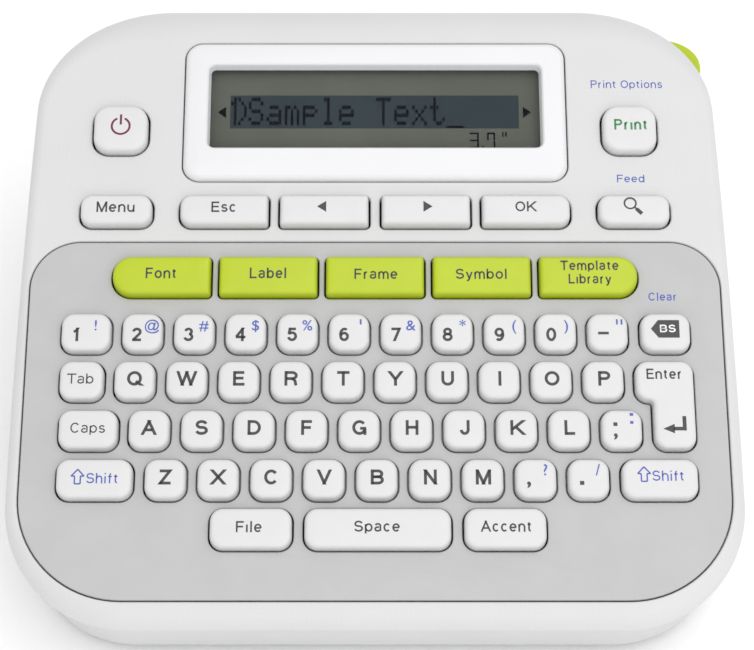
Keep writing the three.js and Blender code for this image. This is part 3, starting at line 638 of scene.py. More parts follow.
# ---- legends ----
INK = 0.03
THIN, HEAVY = 0.004, 0.02  # how far the built-in face's outlines are moved out


def glyphs(text, weight):
    """Flat outline mesh of a text, as points and faces in font units."""
    curve = bpy.data.curves.new("text", "FONT")
    curve.body = text
    curve.offset = weight
    curve.resolution_u = 4
    curve.extrude = 0.02
    obj = bpy.data.objects.new("text", curve)
    bpy.context.scene.collection.objects.link(obj)
    return taken(obj)


CAPITAL_HEIGHTS = [p.y for p in glyphs("H", 0.0)[0]]
CAP_BASE, CAP_TOP = min(CAPITAL_HEIGHTS), max(CAPITAL_HEIGHTS)


def written(text, u, v, height, weight):
    """A text centred on u, scaled so that capitals would be height tall and centred on v."""
    points, faces = glyphs(text, weight)
    left, right = min(p.x for p in points), max(p.x for p in points)
    scale = height / (CAP_TOP - CAP_BASE)
    placed = []
    for p in points:
        placed.append(DECK @ Vector((
            u + (p.x - (left + right) / 2) * scale,
            v + (p.y - (CAP_BASE + CAP_TOP) / 2) * scale,
            KEY_RISE + (INK if p.z > 0 else -INK))))
    return placed, faces


def drawn(outline, level=KEY_RISE):
    """A flat printed shape with this outline."""
    return prism(outline, level - INK, level + INK, DECK)


def stroke(points, width, level=KEY_RISE):
    """A printed line of even width through points; open, with square ends."""
    left, right = [], []
    for i, point in enumerate(points):
        here = Vector(point)
        ahead = Vector(points[min(i + 1, len(points) - 1)]) - here
        behind = here - Vector(points[max(i - 1, 0)])
        along = (ahead.normalized() + behind.normalized()).normalized()
        side = Vector((-along.y, along.x)) * width / 2
        if ahead.length and behind.length:
            side /= max(0.5, abs(along.dot(ahead.normalized())))
        left.append(here + side)
        right.append(here - side)
    return drawn([tuple(p) for p in right + left[::-1]], level)


def bar(start, end, width, low, high, level=KEY_RISE):
    """A straight stroke. An end at the foot or the head of the letter is cut level there."""
    start, end = Vector(start), Vector(end)
    along = (end - start).normalized()
    side = Vector((-along.y, along.x)) * width / 2

    def cut(point, corner):
        for limit in (low, high):
            if abs(point.y - limit) < width * 0.9 and abs(along.y) > 0.3:
                return corner + along * (limit - corner.y) / along.y
        return corner

    corners = ((start, -side), (end, -side), (end, side), (start, side))
    return drawn([tuple(cut(point, point + aside)) for point, aside in corners], level)


def runs(points):
    """A centre line split where it turns sharply."""
    found = [[points[0]]]
    for i in range(1, len(points)):
        found[-1].append(points[i])
        if i + 1 < len(points):
            before = Vector(points[i]) - Vector(points[i - 1])
            after = Vector(points[i + 1]) - Vector(points[i])
            if before.length and after.length and before.angle(after) > math.radians(32):
                found.append([points[i]])
    return found


def legend(name, body, material, *shapes):
    return piece(name, body, together(*shapes), material, smooth=False)


def sweep(x, y, wide, tall, start, end):
    """Points along part of an ellipse, for a glyph."""
    steps = max(6, round(abs(end - start) / 15))
    turns = [math.radians(start + (end - start) * i / steps) for i in range(steps + 1)]
    return [(x + wide * math.cos(a), y + tall * math.sin(a)) for a in turns]


# Plain upright letters: width to height of the capitals, then centre lines in a unit square.
BOWL = [(0, 1)] + sweep(0.6, 0.74, 0.4, 0.26, 90, -90) + [(0, 0.48)]


def oval(start, end, half=0.5):
    """Part of an ellipse as wide as the letter that stands on its foot."""
    return sweep(0.5, half, 0.5, half, start, end)


ROUND = oval(0, 360, 0.36)
ARCH = [(0, 0.4)] + sweep(0.5, 0.4, 0.5, 0.32, 165, 0) + [(1, -0.1)]
STEM = [(0, 0), (0, 1)]
OVAL = oval(0, 360)
GLYPHS = {
    " ": (0.3, []),
    "A": (0.95, [[(0.0, 0), (0.5, 1)], [(0.5, 1), (1.0, 0)], [(0.2, 0.3), (0.8, 0.3)]]),
    "B": (0.84, [STEM, [(0, 1)] + sweep(0.58, 0.76, 0.36, 0.24, 90, -90) + [(0, 0.52)],
                 [(0, 0.52)] + sweep(0.58, 0.26, 0.42, 0.26, 90, -90) + [(0, 0)]]),
    "C": (0.9, [oval(38, 322)]),
    "D": (0.86, [STEM, [(0, 1)] + sweep(0.42, 0.5, 0.58, 0.5, 90, -90) + [(0, 0)]]),
    "E": (0.76, [STEM, [(0, 1), (1.1, 1)], [(0, 0.52), (1.02, 0.52)], [(0, 0), (1.15, 0)]]),
    "F": (0.73, [STEM, [(0, 1), (1.1, 1)], [(0, 0.5), (0.98, 0.5)]]),
    "G": (0.93, [oval(40, 335), [(0.56, 0.43), (1.08, 0.43)],
                 [(0.98, 0.43), (0.98, 0)]]),
    "H": (0.82, [STEM, [(1, 0), (1, 1)], [(0, 0.52), (1, 0.52)]]),
    "I": (0.34, [[(0.5, 0), (0.5, 1)]]),
    "J": (0.63, [[(1, 1), (1, 0.27)], oval(0, -180, 0.3)]),
    "K": (0.9, [STEM, [(0.95, 1), (0.02, 0.33)], [(0.36, 0.56), (1, 0)]]),
    "L": (0.71, [[(0, 1), (0, 0)], [(0, 0), (1.12, 0)]]),
    "M": (0.98, [STEM, [(0.04, 1), (0.5, 0)], [(0.5, 0), (0.96, 1)], [(1, 1), (1, 0)]]),
    "N": (0.82, [STEM, [(0.04, 1), (0.96, 0)], [(1, 0), (1, 1)]]),
    "O": (0.97, [OVAL]),
    "P": (0.79, [STEM, BOWL]),
    "Q": (0.97, [OVAL, [(0.62, 0.26), (0.98, 0.0)]]),
    "R": (0.86, [STEM, BOWL, [(0.5, 0.48), (0.78, 0.42), (0.88, 0.28), (0.92, 0.12), (0.98, -0.1)]]),
    "S": (0.83, [sweep(0.5, 0.75, 0.46, 0.25, 15, 250) + sweep(0.5, 0.26, 0.5, 0.26, 70, -165)]),
    "T": (0.82, [[(-0.14, 1), (1.14, 1)], [(0.5, 1), (0.5, 0)]]),
    "U": (0.82, [[(0, 1), (0, 0.33)], oval(180, 360, 0.36), [(1, 0.33), (1, 1)]]),
    "V": (0.89, [[(0, 1), (0.5, 0)], [(0.5, 0), (1, 1)]]),
    "W": (1.3, [[(0, 1), (0.25, 0)], [(0.25, 0), (0.5, 1)], [(0.5, 1), (0.75, 0)], [(0.75, 0), (1, 1)]]),
    "X": (0.89, [[(0, 1), (1, 0)], [(1, 1), (0, 0)]]),
    "Y": (0.89, [[(0, 1), (0.5, 0.42)], [(0.5, 0.42), (1, 1)], [(0.5, 0.5), (0.5, 0)]]),
    "Z": (0.78, [[(-0.1, 1), (1.1, 1)], [(1, 1), (0, 0)], [(-0.1, 0), (1.12, 0)]]),
    "0": (0.7, [OVAL]),
    "1": (0.5, [[(0.0, 0.76), (0.5, 0.8), (0.8, 0.98)], [(0.8, 1), (0.8, 0)]]),
    "2": (0.7, [sweep(0.5, 0.72, 0.47, 0.28, 170, -25) + [(0.06, 0)], [(-0.1, 0), (1.1, 0)]]),
    "3": (0.7, [sweep(0.48, 0.75, 0.42, 0.25, 165, -75), sweep(0.48, 0.27, 0.5, 0.27, 80, -168)]),
    "4": (0.74, [[(0.76, 0), (0.76, 1)], [(0.76, 1), (0, 0.28)], [(-0.08, 0.26), (1.15, 0.26)]]),
    "5": (0.7, [[(1.0, 1), (0.12, 1)], [(0.18, 1), (0.06, 0.5)], sweep(0.48, 0.33, 0.5, 0.33, 140, -165)]),
    "6": (0.7, [sweep(0.52, 0.31, 0.47, 0.31, 0, 360), sweep(0.56, 0.5, 0.54, 0.5, 55, 190)]),
    "7": (0.7, [[(-0.1, 1), (1.1, 1)], [(0.98, 1), (0.36, 0)]]),
    "8": (0.7, [sweep(0.5, 0.76, 0.42, 0.24, 0, 360), sweep(0.5, 0.27, 0.5, 0.27, 0, 360)]),
    "9": (0.7, [sweep(0.48, 0.69, 0.47, 0.31, 0, 360), sweep(0.44, 0.5, 0.54, 0.5, -125, 10)]),
    "a": (0.68, [sweep(0.47, 0.55, 0.45, 0.19, 160, 0) + [(0.92, 0.0)],
                 sweep(0.45, 0.2, 0.45, 0.2, 60, 320)]),
    "b": (0.72, [STEM, ROUND]),
    "c": (0.66, [oval(45, 315, 0.36)]),
    "d": (0.72, [[(1, 0), (1, 1)], ROUND]),
    "e": (0.7, [oval(0, 318, 0.36), [(0.04, 0.36), (1, 0.36)]]),
    "f": (0.44, [[(0.42, 0), (0.42, 0.8)], sweep(0.9, 0.8, 0.48, 0.2, 180, 95),
                 [(-0.1, 0.68), (1.1, 0.68)]]),
    "h": (0.68, [STEM, ARCH]),
    "i": (0.22, [[(0.5, 0), (0.5, 0.72)], [(0.5, 0.93), (0.5, 1)]]),
    "l": (0.22, [[(0.5, 0), (0.5, 1)]]),
    "m": (1.04, [[(0, 0), (0, 0.72)], [(0.5 * x, y) for x, y in ARCH],
                 [(0.5 + 0.5 * x, y) for x, y in ARCH]]),
    "n": (0.68, [[(0, 0), (0, 0.72)], ARCH]),
    "o": (0.73, [ROUND]),
    "p": (0.72, [[(0, -0.28), (0, 0.72)], ROUND]),
    "r": (0.46, [[(0.1, 0), (0.1, 0.72)], [(0.1, 0.4)] + sweep(0.9, 0.4, 0.75, 0.31, 160, 90)]),
    "s": (0.64, [sweep(0.5, 0.54, 0.42, 0.18, 20, 250) + sweep(0.5, 0.19, 0.48, 0.19, 70, -160)]),
    "t": (0.44, [[(0.4, 0.9), (0.4, 0.14), (0.62, 0.02), (1.0, 0.0)], [(-0.1, 0.7), (1.05, 0.7)]]),
    "u": (0.68, [[(1, 0), (1, 0.72)], [(0, 0.75), (0, 0.32)] + oval(195, 345, 0.32)]),
    "y": (0.68, [[(0, 0.72), (0.5, 0.0)], [(1, 0.72), (0.46, -0.12), (0.3, -0.27), (0.05, -0.28)]]),
}


def glyph(letter, u, v, height, weight=0.19, stretch=1.0, level=KEY_RISE):
    """One letter or figure centred on u and v, as printed strokes of even width."""
    share, lines = GLYPHS[letter]
    thick = height * weight
    wide, tall = height * share * stretch - thick, height - thick
    low, high = v - height / 2, v + height / 2
    parts = []
    for line in lines:
        for run in runs([(u + (x - 0.5) * wide, v + (y - 0.5) * tall) for x, y in line]):
            if len(run) == 2:
                parts.append(bar(*run, thick, low, high, level))
            else:
                parts.append(stroke(run, thick, level))
    return together(*parts)


def word(text, u, v, height, width, weight=0.15, level=KEY_RISE):
    """A word centred on u, fitted to width, its capitals centred on v."""
    gap = 0.16
    total = sum(GLYPHS[letter][0] for letter in text) + gap * (len(text) - 1)
    stretch = width / (total * height)
    place = u - width / 2
    parts = []
    for letter in text:
        advance = GLYPHS[letter][0] * height * stretch
        parts.append(glyph(letter, place + advance / 2, v, height, weight, stretch, level))
        place += advance + gap * height * stretch
    return together(*parts)


for name, text, u, v, height, width in (
        ("menu", "Menu", -57.32, 27.1, 2.5, 8.4), ("escape", "Esc", -33.4, 27.1, 2.5, 5.5),
        ("ok", "OK", 33.3, 27.2, 2.4, 4.6), ("font", "Font", -46.74, 11.3, 2.5, 6.7),
        ("label", "Label", -23.36, 11.3, 2.5, 8.0), ("frame", "Frame", 0.2, 11.1, 2.4, 9.4),
        ("symbol", "Symbol", 23.2, 11.1, 2.4, 11.2),
        ("tab", "Tab", -63.2, -13.2, 2.3, 5.6), ("caps", "Caps", -61.12, -24.3, 2.3, 7.4),
        ("file", "File", -26.4, -46.1, 2.4, 5.4), ("space", "Space", 0.43, -46.0, 2.4, 9.6),
        ("accent", "Accent", 27.5, -46.0, 2.4, 10.6)):
    weight = 0.12 if name in ("tab", "caps") else 0.15
    legend(f"key_{name}_legend", f"key_{name}", INK_DARK, word(text, u, v, height, width, weight))
legend("key_template_legend", "key_template", INK_DARK,
       word("Template", 46.9, 13.1, 2.25, 12.7), word("Library", 46.9, 9.95, 2.25, 9.3))
legend("key_print_legend", "key_print", INK_GREEN, word("Print", 57.3, 47.3, 2.6, 7.4, 0.17))


def arrow(u, v, way):
    return drawn([(u + way * 1.0, v), (u - way * 1.0, v + 1.3), (u - way * 1.0, v - 1.3)][::way])


legend("key_left_legend", "key_left", INK_DARK, arrow(-11.8, 27.2, -1))
legend("key_right_legend", "key_right", INK_DARK, arrow(11.7, 27.2, 1))

# Power symbol: a ring open at the top with a bar in the gap.
ring = [polar((-57.0, 46.9), 2.0, 90 + 24 + (360 - 48) * step / 36) for step in range(37)]
legend("key_power_legend", "key_power", INK_PURPLE,
       stroke(ring, 0.48), drawn(rectangle(-57.0, 48.5, 0.48, 2.5)))

# Magnifier: a ring and a thicker handle.
lens = [polar((56.4, 27.95), 1.28, step * 10) for step in range(36)]
lens_ring = stroke(lens + lens[:1], 0.36)
handle = stroke([(57.35, 27.0), (57.75, 26.6)], 0.36)
grip = stroke([(57.7, 26.65), (58.1, 26.25), (58.9, 25.45)], 0.85)
legend("key_zoom_legend", "key_zoom", INK_DARK, lens_ring, handle, grip)

# Backspace tag with its letters in white.
tag = [(59.7, -1.75), (61.3, -3.8), (65.85, -3.8), (65.85, 0.25), (61.3, 0.25)]
legend("key_backspace_legend", "key_backspace", INK_DARK, drawn(tag))
legend("key_backspace_letters", "key_backspace", INK_WHITE,
       word("BS", 63.35, -1.7, 1.75, 3.4, 0.17, KEY_RISE + 0.03))

# Enter: the word above, a turned arrow below.
legend("key_enter_legend", "key_enter", INK_DARK,
       word("Enter", 62.1, -12.1, 2.35, 7.6),
       stroke([(65.94, -21.7), (65.94, -24.5), (63.6, -24.5)], 0.8),
       drawn([(61.4, -24.5), (63.8, -25.55), (63.8, -23.45)]))


def shift_arrow(u, v):
    """An upward arrow in outline."""
    outline = [(-0.62, -1.6), (0.62, -1.6), (0.62, 0.1), (1.36, 0.1), (0, 1.6), (-1.36, 0.1), (-0.62, 0.1)]
    points = [(u + a, v + b) for a, b in outline]
    return together(*(stroke([points[i - 1], points[i]], 0.3) for i in range(len(points))))


legend("key_shift_left_legend", "key_shift_left", INK_BLUE, shift_arrow(-62.8, -35.15),
       word("Shift", -57.6, -35.5, 2.25, 6.7, 0.13))
legend("key_shift_right_legend", "key_shift_right", INK_BLUE, shift_arrow(56.85, -34.6),
       word("Shift", 61.9, -34.95, 2.25, 6.7, 0.13))

NUMBER_V = ROW["number"] - 0.75
SYMBOL_V = ROW["number"] + 1.35
numbers, symbols = [], []
for shape, main, other in zip(LETTER_ROWS["number_key_row"], "1234567890-", "!@#$%'&*()\""):
    u = (shape[0][0][0] + shape[0][1][0]) / 2
    wide = shape[0][1][0] - shape[0][0][0] > KEY_HEIGHT + 1
    if main == "-":
        numbers.append(drawn(rectangle(u - 1.0, NUMBER_V + 0.3, 2.3, 0.6)))
    else:
        numbers.append(glyph(main, u - (2.1 if wide else 1.1), NUMBER_V, 3.1))
    if other in "'\"":
        marks = [0] if other == "'" else [-0.5, 0.5]
        symbols += [drawn(rectangle(u + 2.5 + m, SYMBOL_V + 0.8, 0.36, 1.2)) for m in marks]
    else:
        symbols.append(written(other, u + 2.15, SYMBOL_V, 2.3, THIN))
legend("number_key_row_legends", "number_key_row", INK_DARK, *numbers)
legend("number_key_row_shifted", "number_key_row", INK_BLUE, *symbols)

ROW_LETTERS = {
    "upper_letter_row": "QWERTYUIOP",
    "middle_letter_row": "ASDFGHJKL",
    "lower_letter_row": "ZXCVBNM",
}
for name, letters in ROW_LETTERS.items():
    shapes = []
    for shape, letter in zip(LETTER_ROWS[name], letters):
        (u0, v0), (u1, v1) = shape[0][0], shape[0][2]
        shapes.append(glyph(letter, (u0 + u1) / 2 + 0.1, (v0 + v1) / 2 + 0.15, 3.3))
    if name == "middle_letter_row":
        u, v = -48.2 + 9 * PITCH, ROW["a"]
        shapes += [drawn(rectangle(u - 1.4, v + 0.9, 0.85, 0.8))]
        shapes += [written(",", u - 1.4, v - 0.2, 3.3, HEAVY)]
        dots = [drawn(rectangle(u + 2.1, v + 1.3 + up, 0.7, 0.6)) for up in (0, 1.8)]
        legend("middle_letter_row_shifted", name, INK_BLUE, *dots)
    if name == "lower_letter_row":
        u, v = -44.4 + 7 * PITCH, ROW["z"]
        full_stop = drawn(rectangle(u + PITCH - 1.5, v - 1.15, 0.9, 0.85))
        shapes += [written(",", u - 1.5, v + 0.1, 3.3, HEAVY), full_stop]
        legend("lower_letter_row_shifted", name, INK_BLUE,
               written("?", u + 2.05, v + 1.75, 2.4, THIN),
               written("/", u + PITCH + 1.9, v + 1.75, 2.4, THIN))
    legend(f"{name}_legends", name, INK_DARK, *shapes)

legend("print_options_label", "casing", INK_BLUE, word("Print Options", 57.0, 58.5, 1.95, 16.2, 0.12, 0.0))
legend("feed_label", "casing", INK_BLUE, word("Feed", 57.03, 35.0, 1.85, 6.1, 0.13, 0.0))
legend("clear_label", "casing", INK_BLUE, word("Clear", 62.86, 6.65, 1.9, 6.2, 0.14, 0.0))

# ---- display ----
VIEW = span((-36.9, 36.9), (43.0, 62.2))


def view_outline(inset):
    return rounded(VIEW, 0.8, inset, 4)


def display_frame():
    rings = [(0.0, -3.9), (0.0, -0.5), *fillet(1.5, 8, 0.0, 1.05), (2.6, 1.13), (3.8, 1.18)]
    body = layered(display_outline, rings, DECK)
    flange = prism(rounded(span((-44.8, 44.8), (33.14, 69.42)), 2), -3.9, -2.5, DECK)
    view_rings = ((0.05, -4.5), (0.0, -2.1), (-0.7, 0.7), (-0.85, 0.95), (-1.2, 1.2), (-1.2, 3.0))
    view = layered(view_outline, view_rings, DECK)
    rebate = block((-39.4, 39.4), (38.4, 64.6), (-6, -0.9), DECK)
    return combined(body, (ADD, flange), (CUT, view), (CUT, rebate))


piece("display_bezel", "casing", display_frame(), GLOSS, ["display_frame"])


def slab(x, y, low, high, edge):
    """A flat sheet with slightly broken edges."""
    corners = span(x, y)
    rings = [(edge, low), (0, low + edge), (0, high - edge), (edge, high)]
    return layered(lambda inset: rounded(corners, 0.6, inset, 3), rings, DECK)


piece("display_lens", "casing", slab((-39, 39), (38.8, 64.2), -2, -1, 0.08), CLEAR, ["display_window"])
LCD_TOP = -2.4
piece("lcd_cell", "casing", slab((-39, 39), (38.8, 64.2), -5, LCD_TOP, 0.1), LCD, ["lcd_panel"])
band = block((-32.85, 32.6), (48.55, 56.85), (LCD_TOP - 0.01, LCD_TOP + 0.02), DECK)
piece("lcd_highlight_band", "casing", band, LCD_BAND, smooth=False)

# Dot-matrix characters, seven rows of five dots.
DOTS = {
    "1": "00100 01100 00100 00100 00100 00100 00100",
    ")": "10000 01000 00100 00100 00100 01000 10000",
    "S": "01110 10001 10000 01110 00001 10001 01110",
    "a": "00000 00000 01110 00001 01111 10001 01111",
    "m": "00000 00000 11010 10101 10101 10101 10101",
    "p": "00000 00000 11110 10001 11110 10000 10000",
    "l": "01100 00100 00100 00100 00100 00100 01110",
    "e": "00000 00000 01110 10001 11111 10000 01110",
    "T": "11111 00100 00100 00100 00100 00100 00100",
    "x": "00000 00000 10001 01010 00100 01010 10001",
    "t": "01000 01000 11100 01000 01000 01001 00110",
}
DOT_U, DOT_V = 0.68, 1.0
DOT_HIGH, MARK_HIGH = 0.05, 0.04


def mark(x, y, high=MARK_HIGH):
    """A dark mark on the display with these limits."""
    return block(x, y, (LCD_TOP, LCD_TOP + high), DECK)


def dot_text(text, u, v=56.3, step=4.1):
    """Characters from their upper left corner, step apart."""
    dots = []
    for place, letter in enumerate(text):
        for row, bits in enumerate(DOTS[letter].split()):
            for column, bit in enumerate(bits):
                if bit == "1":
                    x = u + place * step + column * DOT_U
                    y = v - row * DOT_V
                    dots.append(mark((x, x + DOT_U * 0.9), (y - DOT_V * 0.92, y), DOT_HIGH))
    return dots


characters = []
for text, u in (("1", -33.4), (")", -31.1), ("Sample", -28.7), ("Text", 0.2)):
    characters += dot_text(text, u)
characters.append(mark((16.2, 20.1), (48.6, 49.2), DOT_HIGH))


def segments(digit, u, v, width, height, thick):
    """A seven-segment digit from its lower left corner."""
    half = height / 2
    bars = {
        "a": ((0, width), (height - thick, height)),
        "b": ((width - thick, width), (half, height)),
        "c": ((width - thick, width), (0, half)),
        "d": ((0, width), (0, thick)),
        "f": ((0, thick), (half, height)),
        "g": ((0, width), (half - thick / 2, half + thick / 2)),
    }
    lit = {"3": "abcdg", "7": "abcf"}[digit]
    inset = 0.08
    return [mark((u + x[0] + inset, u + x[1] - inset), (v + y[0] + inset, v + y[1] - inset))
            for x, y in (bars[s] for s in lit)]


characters += segments("3", 21.3, 43.5, 2.2, 4.1, 0.55) + segments("7", 25.2, 43.5, 2.0, 4.1, 0.55)
characters.append(mark((24.1, 24.6), (43.6, 44.1)))
characters += [mark((28.7 + x, 29.05 + x), (46.5, 47.6)) for x in (0, 0.7)]
for way, u in ((-1, -34.75), (1, 34.45)):
    outline = [(u + way * 0.95, 52.6), (u - way * 0.95, 54.0), (u - way * 0.95, 51.2)][::way]
    characters.append(prism(outline, LCD_TOP, LCD_TOP + MARK_HIGH, DECK))
piece("lcd_characters", "casing", together(*characters), LCD_MARK, smooth=False)

# ---- lower casing ----
POSTS = [(-69.6, -33), (69.6, -33), (-20, 64.7), (20, 64.7)]


def base_ring(inset, z):
    return [(x - inset * a, y - inset * b, z) for x, y, a, b in BASE]


def on_deck(ring):
    return [tuple(DECK @ Vector(p)) for p in ring]


def lower_casing():
    top = on_deck(skin_ring(undercut, lambda ny: PARTING_DEPTH + SEAM))
    inner_top = on_deck(skin_ring(lambda ny: undercut(ny) + WALL, lambda ny: PARTING_DEPTH + SEAM - 1))
    edge = ((2.5, BASE_Z), (1.5, 1.8), (0.8, 2.6), (0.35, 4.0), (0, 6.5))
    rings = [base_ring(inset, z) for inset, z in edge]
    outside = solid(rings + [top])
    inside = solid([base_ring(4.2, BASE_Z + FLOOR), base_ring(WALL, 7.5), inner_top])
    battery = (block((-63.8, -24.2), (6.2, 63.8), (2, 29.8)), block((-62, -26), (8, 62), (0, 28)))
    cassette = (block((-19.6, 70.2), (3.4, 62.4), (2, 25.9)), block((-18, 68.6), (5, 60.8), (0, 26.9)))
    gate = block((48, 66), (59.8, 64.8), (3.7, 30))
    walls = [combined(battery[0], (CUT, battery[1])),
             combined(cassette[0], (CUT, cassette[1]), (CUT, gate))]
    bosses = together(*(cylinder(x, y, 4.2, 2, 7.6) for x, y in POSTS))
    wells = together(*(cylinder(x, y, 3.0, 0, 5.4) for x, y in POSTS))
    shanks = together(*(cylinder(x, y, 1.4, 4, 20, 24) for x, y in POSTS))
    seat = combined(block((43.4, 45.4), (57, 74), (30.5, 37.5)), (KEEP, outside))
    cover_hole = prism(rounded(span((-63, 68), (7, 61)), 3.0), 0, 4.0)
    exit_outline = rounded(span((50, 55), (6.5, 22.5)), 0.6, 0, 4)
    tape_exit = solid([[(x, y, z) for x, z in exit_outline] for y in (80, 66)])
    turn = Matrix.Rotation(-math.pi / 2, 4, "Y")
    jack_hole = cylinder(13, -14, 4.7, 66, 80, 40, turn)
    free_core = combined(block((-18, 68.6), (5, 60.8), (2.1, 26.9)), (CUT, bosses))
    return combined(
        outside, (CUT, inside),
        *((ADD, added) for added in (*walls, bosses, seat)),
        *((CUT, cutter) for cutter in (
            free_core, cover_hole, tape_exit, jack_hole, lever_opening(), wells, shanks)))


piece("lower_casing_shell", "casing", lower_casing(), WHITE, ["lower_casing"])


def back_cover():
    corners = span((-62.6, 67.6), (7.4, 60.6))
    rings = [(0.5, 1.5), (0.15, 1.65), (0, 2.0), (0, 3.5), (0.2, 3.7)]
    plate = layered(lambda inset: rounded(corners, 2.6, inset, 6), rings)
    latch = block((-8, 8), (58.4, 60), (3.5, 8))
    hook = prism(rounded(span((-8, 8), (59, 60.5)), 0.3, 0, 3), 6.4, 8)
    thumb = span((-10, 10), (54, 60.2))
    recess = layered(lambda inset: rounded(thumb, 2, inset, 6), ((-0.4, 1.0), (0.0, 1.9), (0.5, 2.4)))
    groove = block((-7, 7), (50.5, 51.3), (1.2, 1.75))
    return combined(plate, (ADD, latch), (ADD, hook), (CUT, recess), (CUT, groove))


piece("back_cover_panel", "back_cover", back_cover(), WHITE, ["back_cover"])


# ---- cutter lever ----
def inset_outline(points, distance):
    """A free outline moved in along its own normals."""
    moved = []
    for i, point in enumerate(points):
        along = (Vector(points[(i + 1) % len(points)]) - Vector(points[i - 1])).normalized()
        moved.append((point[0] - along.y * distance, point[1] + along.x * distance))
    return moved


def cutter_lever():
    face = []
    for step in range(33):
        share = step / 32
        face.append(polar(LEVER_CENTRE, 24.8 + 6.4 * math.sin(math.pi * share) ** 0.7, 8.5 + 40.5 * share))
    outline = face + [(61.4, 61.6), (61.4, 59.8), (64.5, 54), (67.4, 46)]
    rings = [(0.6, 42), (0.15, 42.3), (0, 42.9), (0, 60.4), (0.12, 60.8), (0.4, 61)]
    button = layered(lambda inset: inset_outline(outline, inset), rings)
    arm = block((67.2, 70.6), (23.6, 48), (42, 49.2))
    bore = cylinder(69, 26, 1.6, 30, 60, 24)
    return combined(button, (ADD, arm), (CUT, bore))


piece("cutter_lever_button", "cutter_lever", cutter_lever(), LIME, ["cutter_lever"])


# ---- feet, screws, power inlet ----
def foot(x, y):
    rings = [(3.2, 0.35), (3.5, 0.1), (3.9, 0.0), (4.3, 0.12), (4.6, 0.5), (4.6, 1.5)]
    return solid([at(circle(x, y, radius, 48), z) for radius, z in rings])


for side, sign in (("left", -1), ("right", 1)):
    for end, (x, y) in (("front", (54, -52)), ("rear", (45, 66.6))):
        name = f"foot_{end}_{side}"
        piece(name + "_pad", "casing", foot(sign * x, y), RUBBER, [name])


def screw(x, y):
    rings = [(1.9, 3.2), (2.25, 3.35), (2.4, 3.7), (2.4, 5.0), (1.0, 5.0), (1.0, 13.2), (0.3, 14.0)]
    shank = solid([at(circle(x, y, radius, 28), z) for radius, z in rings])
    slots = [block((x - a, x + a), (y - b, y + b), (2, 4.0)) for a, b in ((0.3, 1.3), (1.3, 0.3))]
    return combined(shank, (CUT, slots[0]), (CUT, slots[1]))


for name, (x, y) in zip(("front_left", "front_right", "rear_left", "rear_right"), POSTS):
    piece(f"casing_screw_{name}_head", "casing", screw(x, y), STEEL, [f"casing_screw_{name}"])


def along_x(rings_by_x, y, z, sides=40):
    """A turned solid on an axis along X, from (radius, x) pairs in order of falling x."""
    return solid([[(x, y + radius * math.cos(a), z + radius * math.sin(a))
                   for a in (-2 * math.pi * i / sides for i in range(sides))] for radius, x in rings_by_x])


def dc_jack():
    y, z = -14, 13
    housing = block((-70.4, -58), (y - 5, y + 5), (z - 5.5, z + 5.5))
    barrel = along_x([(4.2, -72.3), (4.2, -70), (4.2, -69)], y, z)
    bore = along_x([(3.5, -73.5), (3.2, -72.0), (3.2, -60.5)], y, z)
    pin = along_x([(0.6, -65.4), (0.9, -65.0), (0.9, -60.0)], y, z)
    return combined(housing, (ADD, barrel), (CUT, bore), (ADD, pin))


piece("dc_jack_socket", "casing", dc_jack(), DARK, ["dc_jack"])

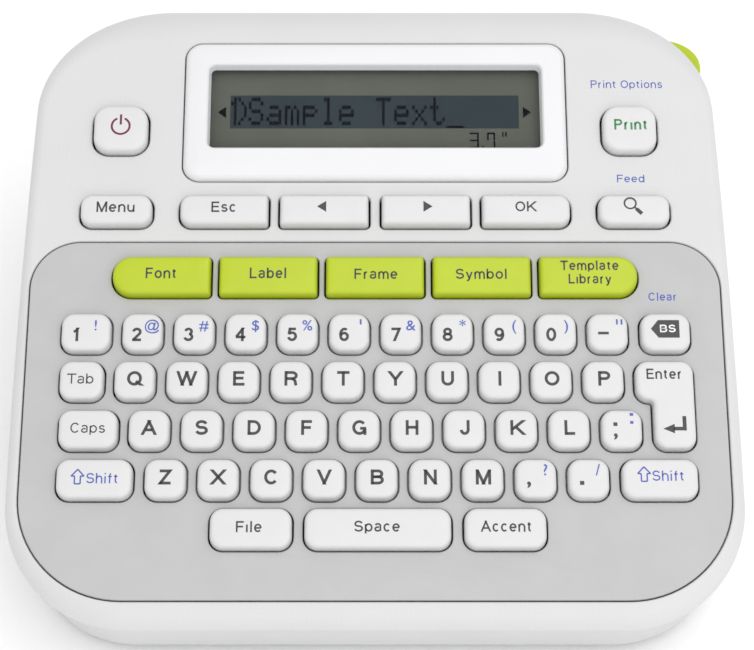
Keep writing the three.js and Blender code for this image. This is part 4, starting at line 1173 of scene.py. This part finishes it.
# ---- carried-over CAD nodes ----
FINISHES = {
    "contact_sheet": SILICONE, "main_circuit_board": BOARD_GREEN, "mechanism_frame": DARK,
    "feed_motor": STEEL, "motor_pinion": BRASS, "reduction_gear": ACETAL, "take_up_spindle": ACETAL,
    "platen_roller": RUBBER, "platen_holder": DARK, "print_head": CERAMIC, "head_heat_sink": ALUMINIUM,
    "tape_cassette": SHELL, "cutter_blade": STEEL, "cutter_spring": SPRING,
    "battery_contacts_front": SPRING, "battery_contacts_rear": SPRING,
}
for name, material in FINISHES.items():
    mesh = nodes[name].data
    mesh.materials.clear()
    mesh.materials.append(material)

# ---- floor, light, camera ----
FLOOR_SIZE = 3.0
FLOOR_SPAN = (-FLOOR_SIZE, FLOOR_SIZE)
floor = mesh_object("floor", at(span(FLOOR_SPAN, FLOOR_SPAN), 0), [(0, 1, 2, 3)])
floor.data.materials.append(
    moulded("floor_paper", linear(252, 252, 252), 0.9, patch=60, change=0.01, grain=0.6, depth=0.01))


def area_light(name, place, target, size, power):
    data = bpy.data.lights.new(name, "AREA")
    data.shape = "RECTANGLE"
    data.size, data.size_y = size
    data.energy = power
    light = bpy.data.objects.new(name, data)
    light.location = place
    light.rotation_euler = (Vector(place) - Vector(target)).to_track_quat("Z", "Y").to_euler()
    bpy.context.scene.collection.objects.link(light)


LIGHT_TARGET = (0, 0, 0.04)
OVERHEAD_POWER, FILL_POWER = 3.7, 2.2
area_light("overhead", (0.25, -0.1, 1.0), LIGHT_TARGET, (1.2, 0.9), OVERHEAD_POWER)
area_light("front_fill", (0.3, -0.9, 0.5), LIGHT_TARGET, (1.1, 0.5), FILL_POWER)

SKY_STRENGTH = 0.86
world = bpy.data.worlds.new("studio")
world.use_nodes = True
background = world.node_tree.nodes["Background"]
background.inputs["Color"].default_value = (1, 1, 1, 1)
background.inputs["Strength"].default_value = SKY_STRENGTH
bpy.context.scene.world = world
bpy.context.scene.view_settings.view_transform = "Standard"

VIEW_ANGLE = math.radians(39)
VIEW_DISTANCE = 493.7
VIEW_SHIFT = 0.43
LENS = 108.33
camera_data = bpy.data.cameras.new("camera")
camera_data.lens = LENS
camera_data.sensor_width = 36
camera_data.clip_start = 0.01
camera = bpy.data.objects.new("camera", camera_data)
view_back, view_up = math.sin(VIEW_ANGLE) * VIEW_DISTANCE, math.cos(VIEW_ANGLE) * VIEW_DISTANCE
camera.location = (DECK_ORIGIN + Vector((VIEW_SHIFT, -view_back, view_up))) * MM
camera.rotation_euler = (VIEW_ANGLE, 0, 0)
bpy.context.scene.collection.objects.link(camera)
bpy.context.scene.camera = camera
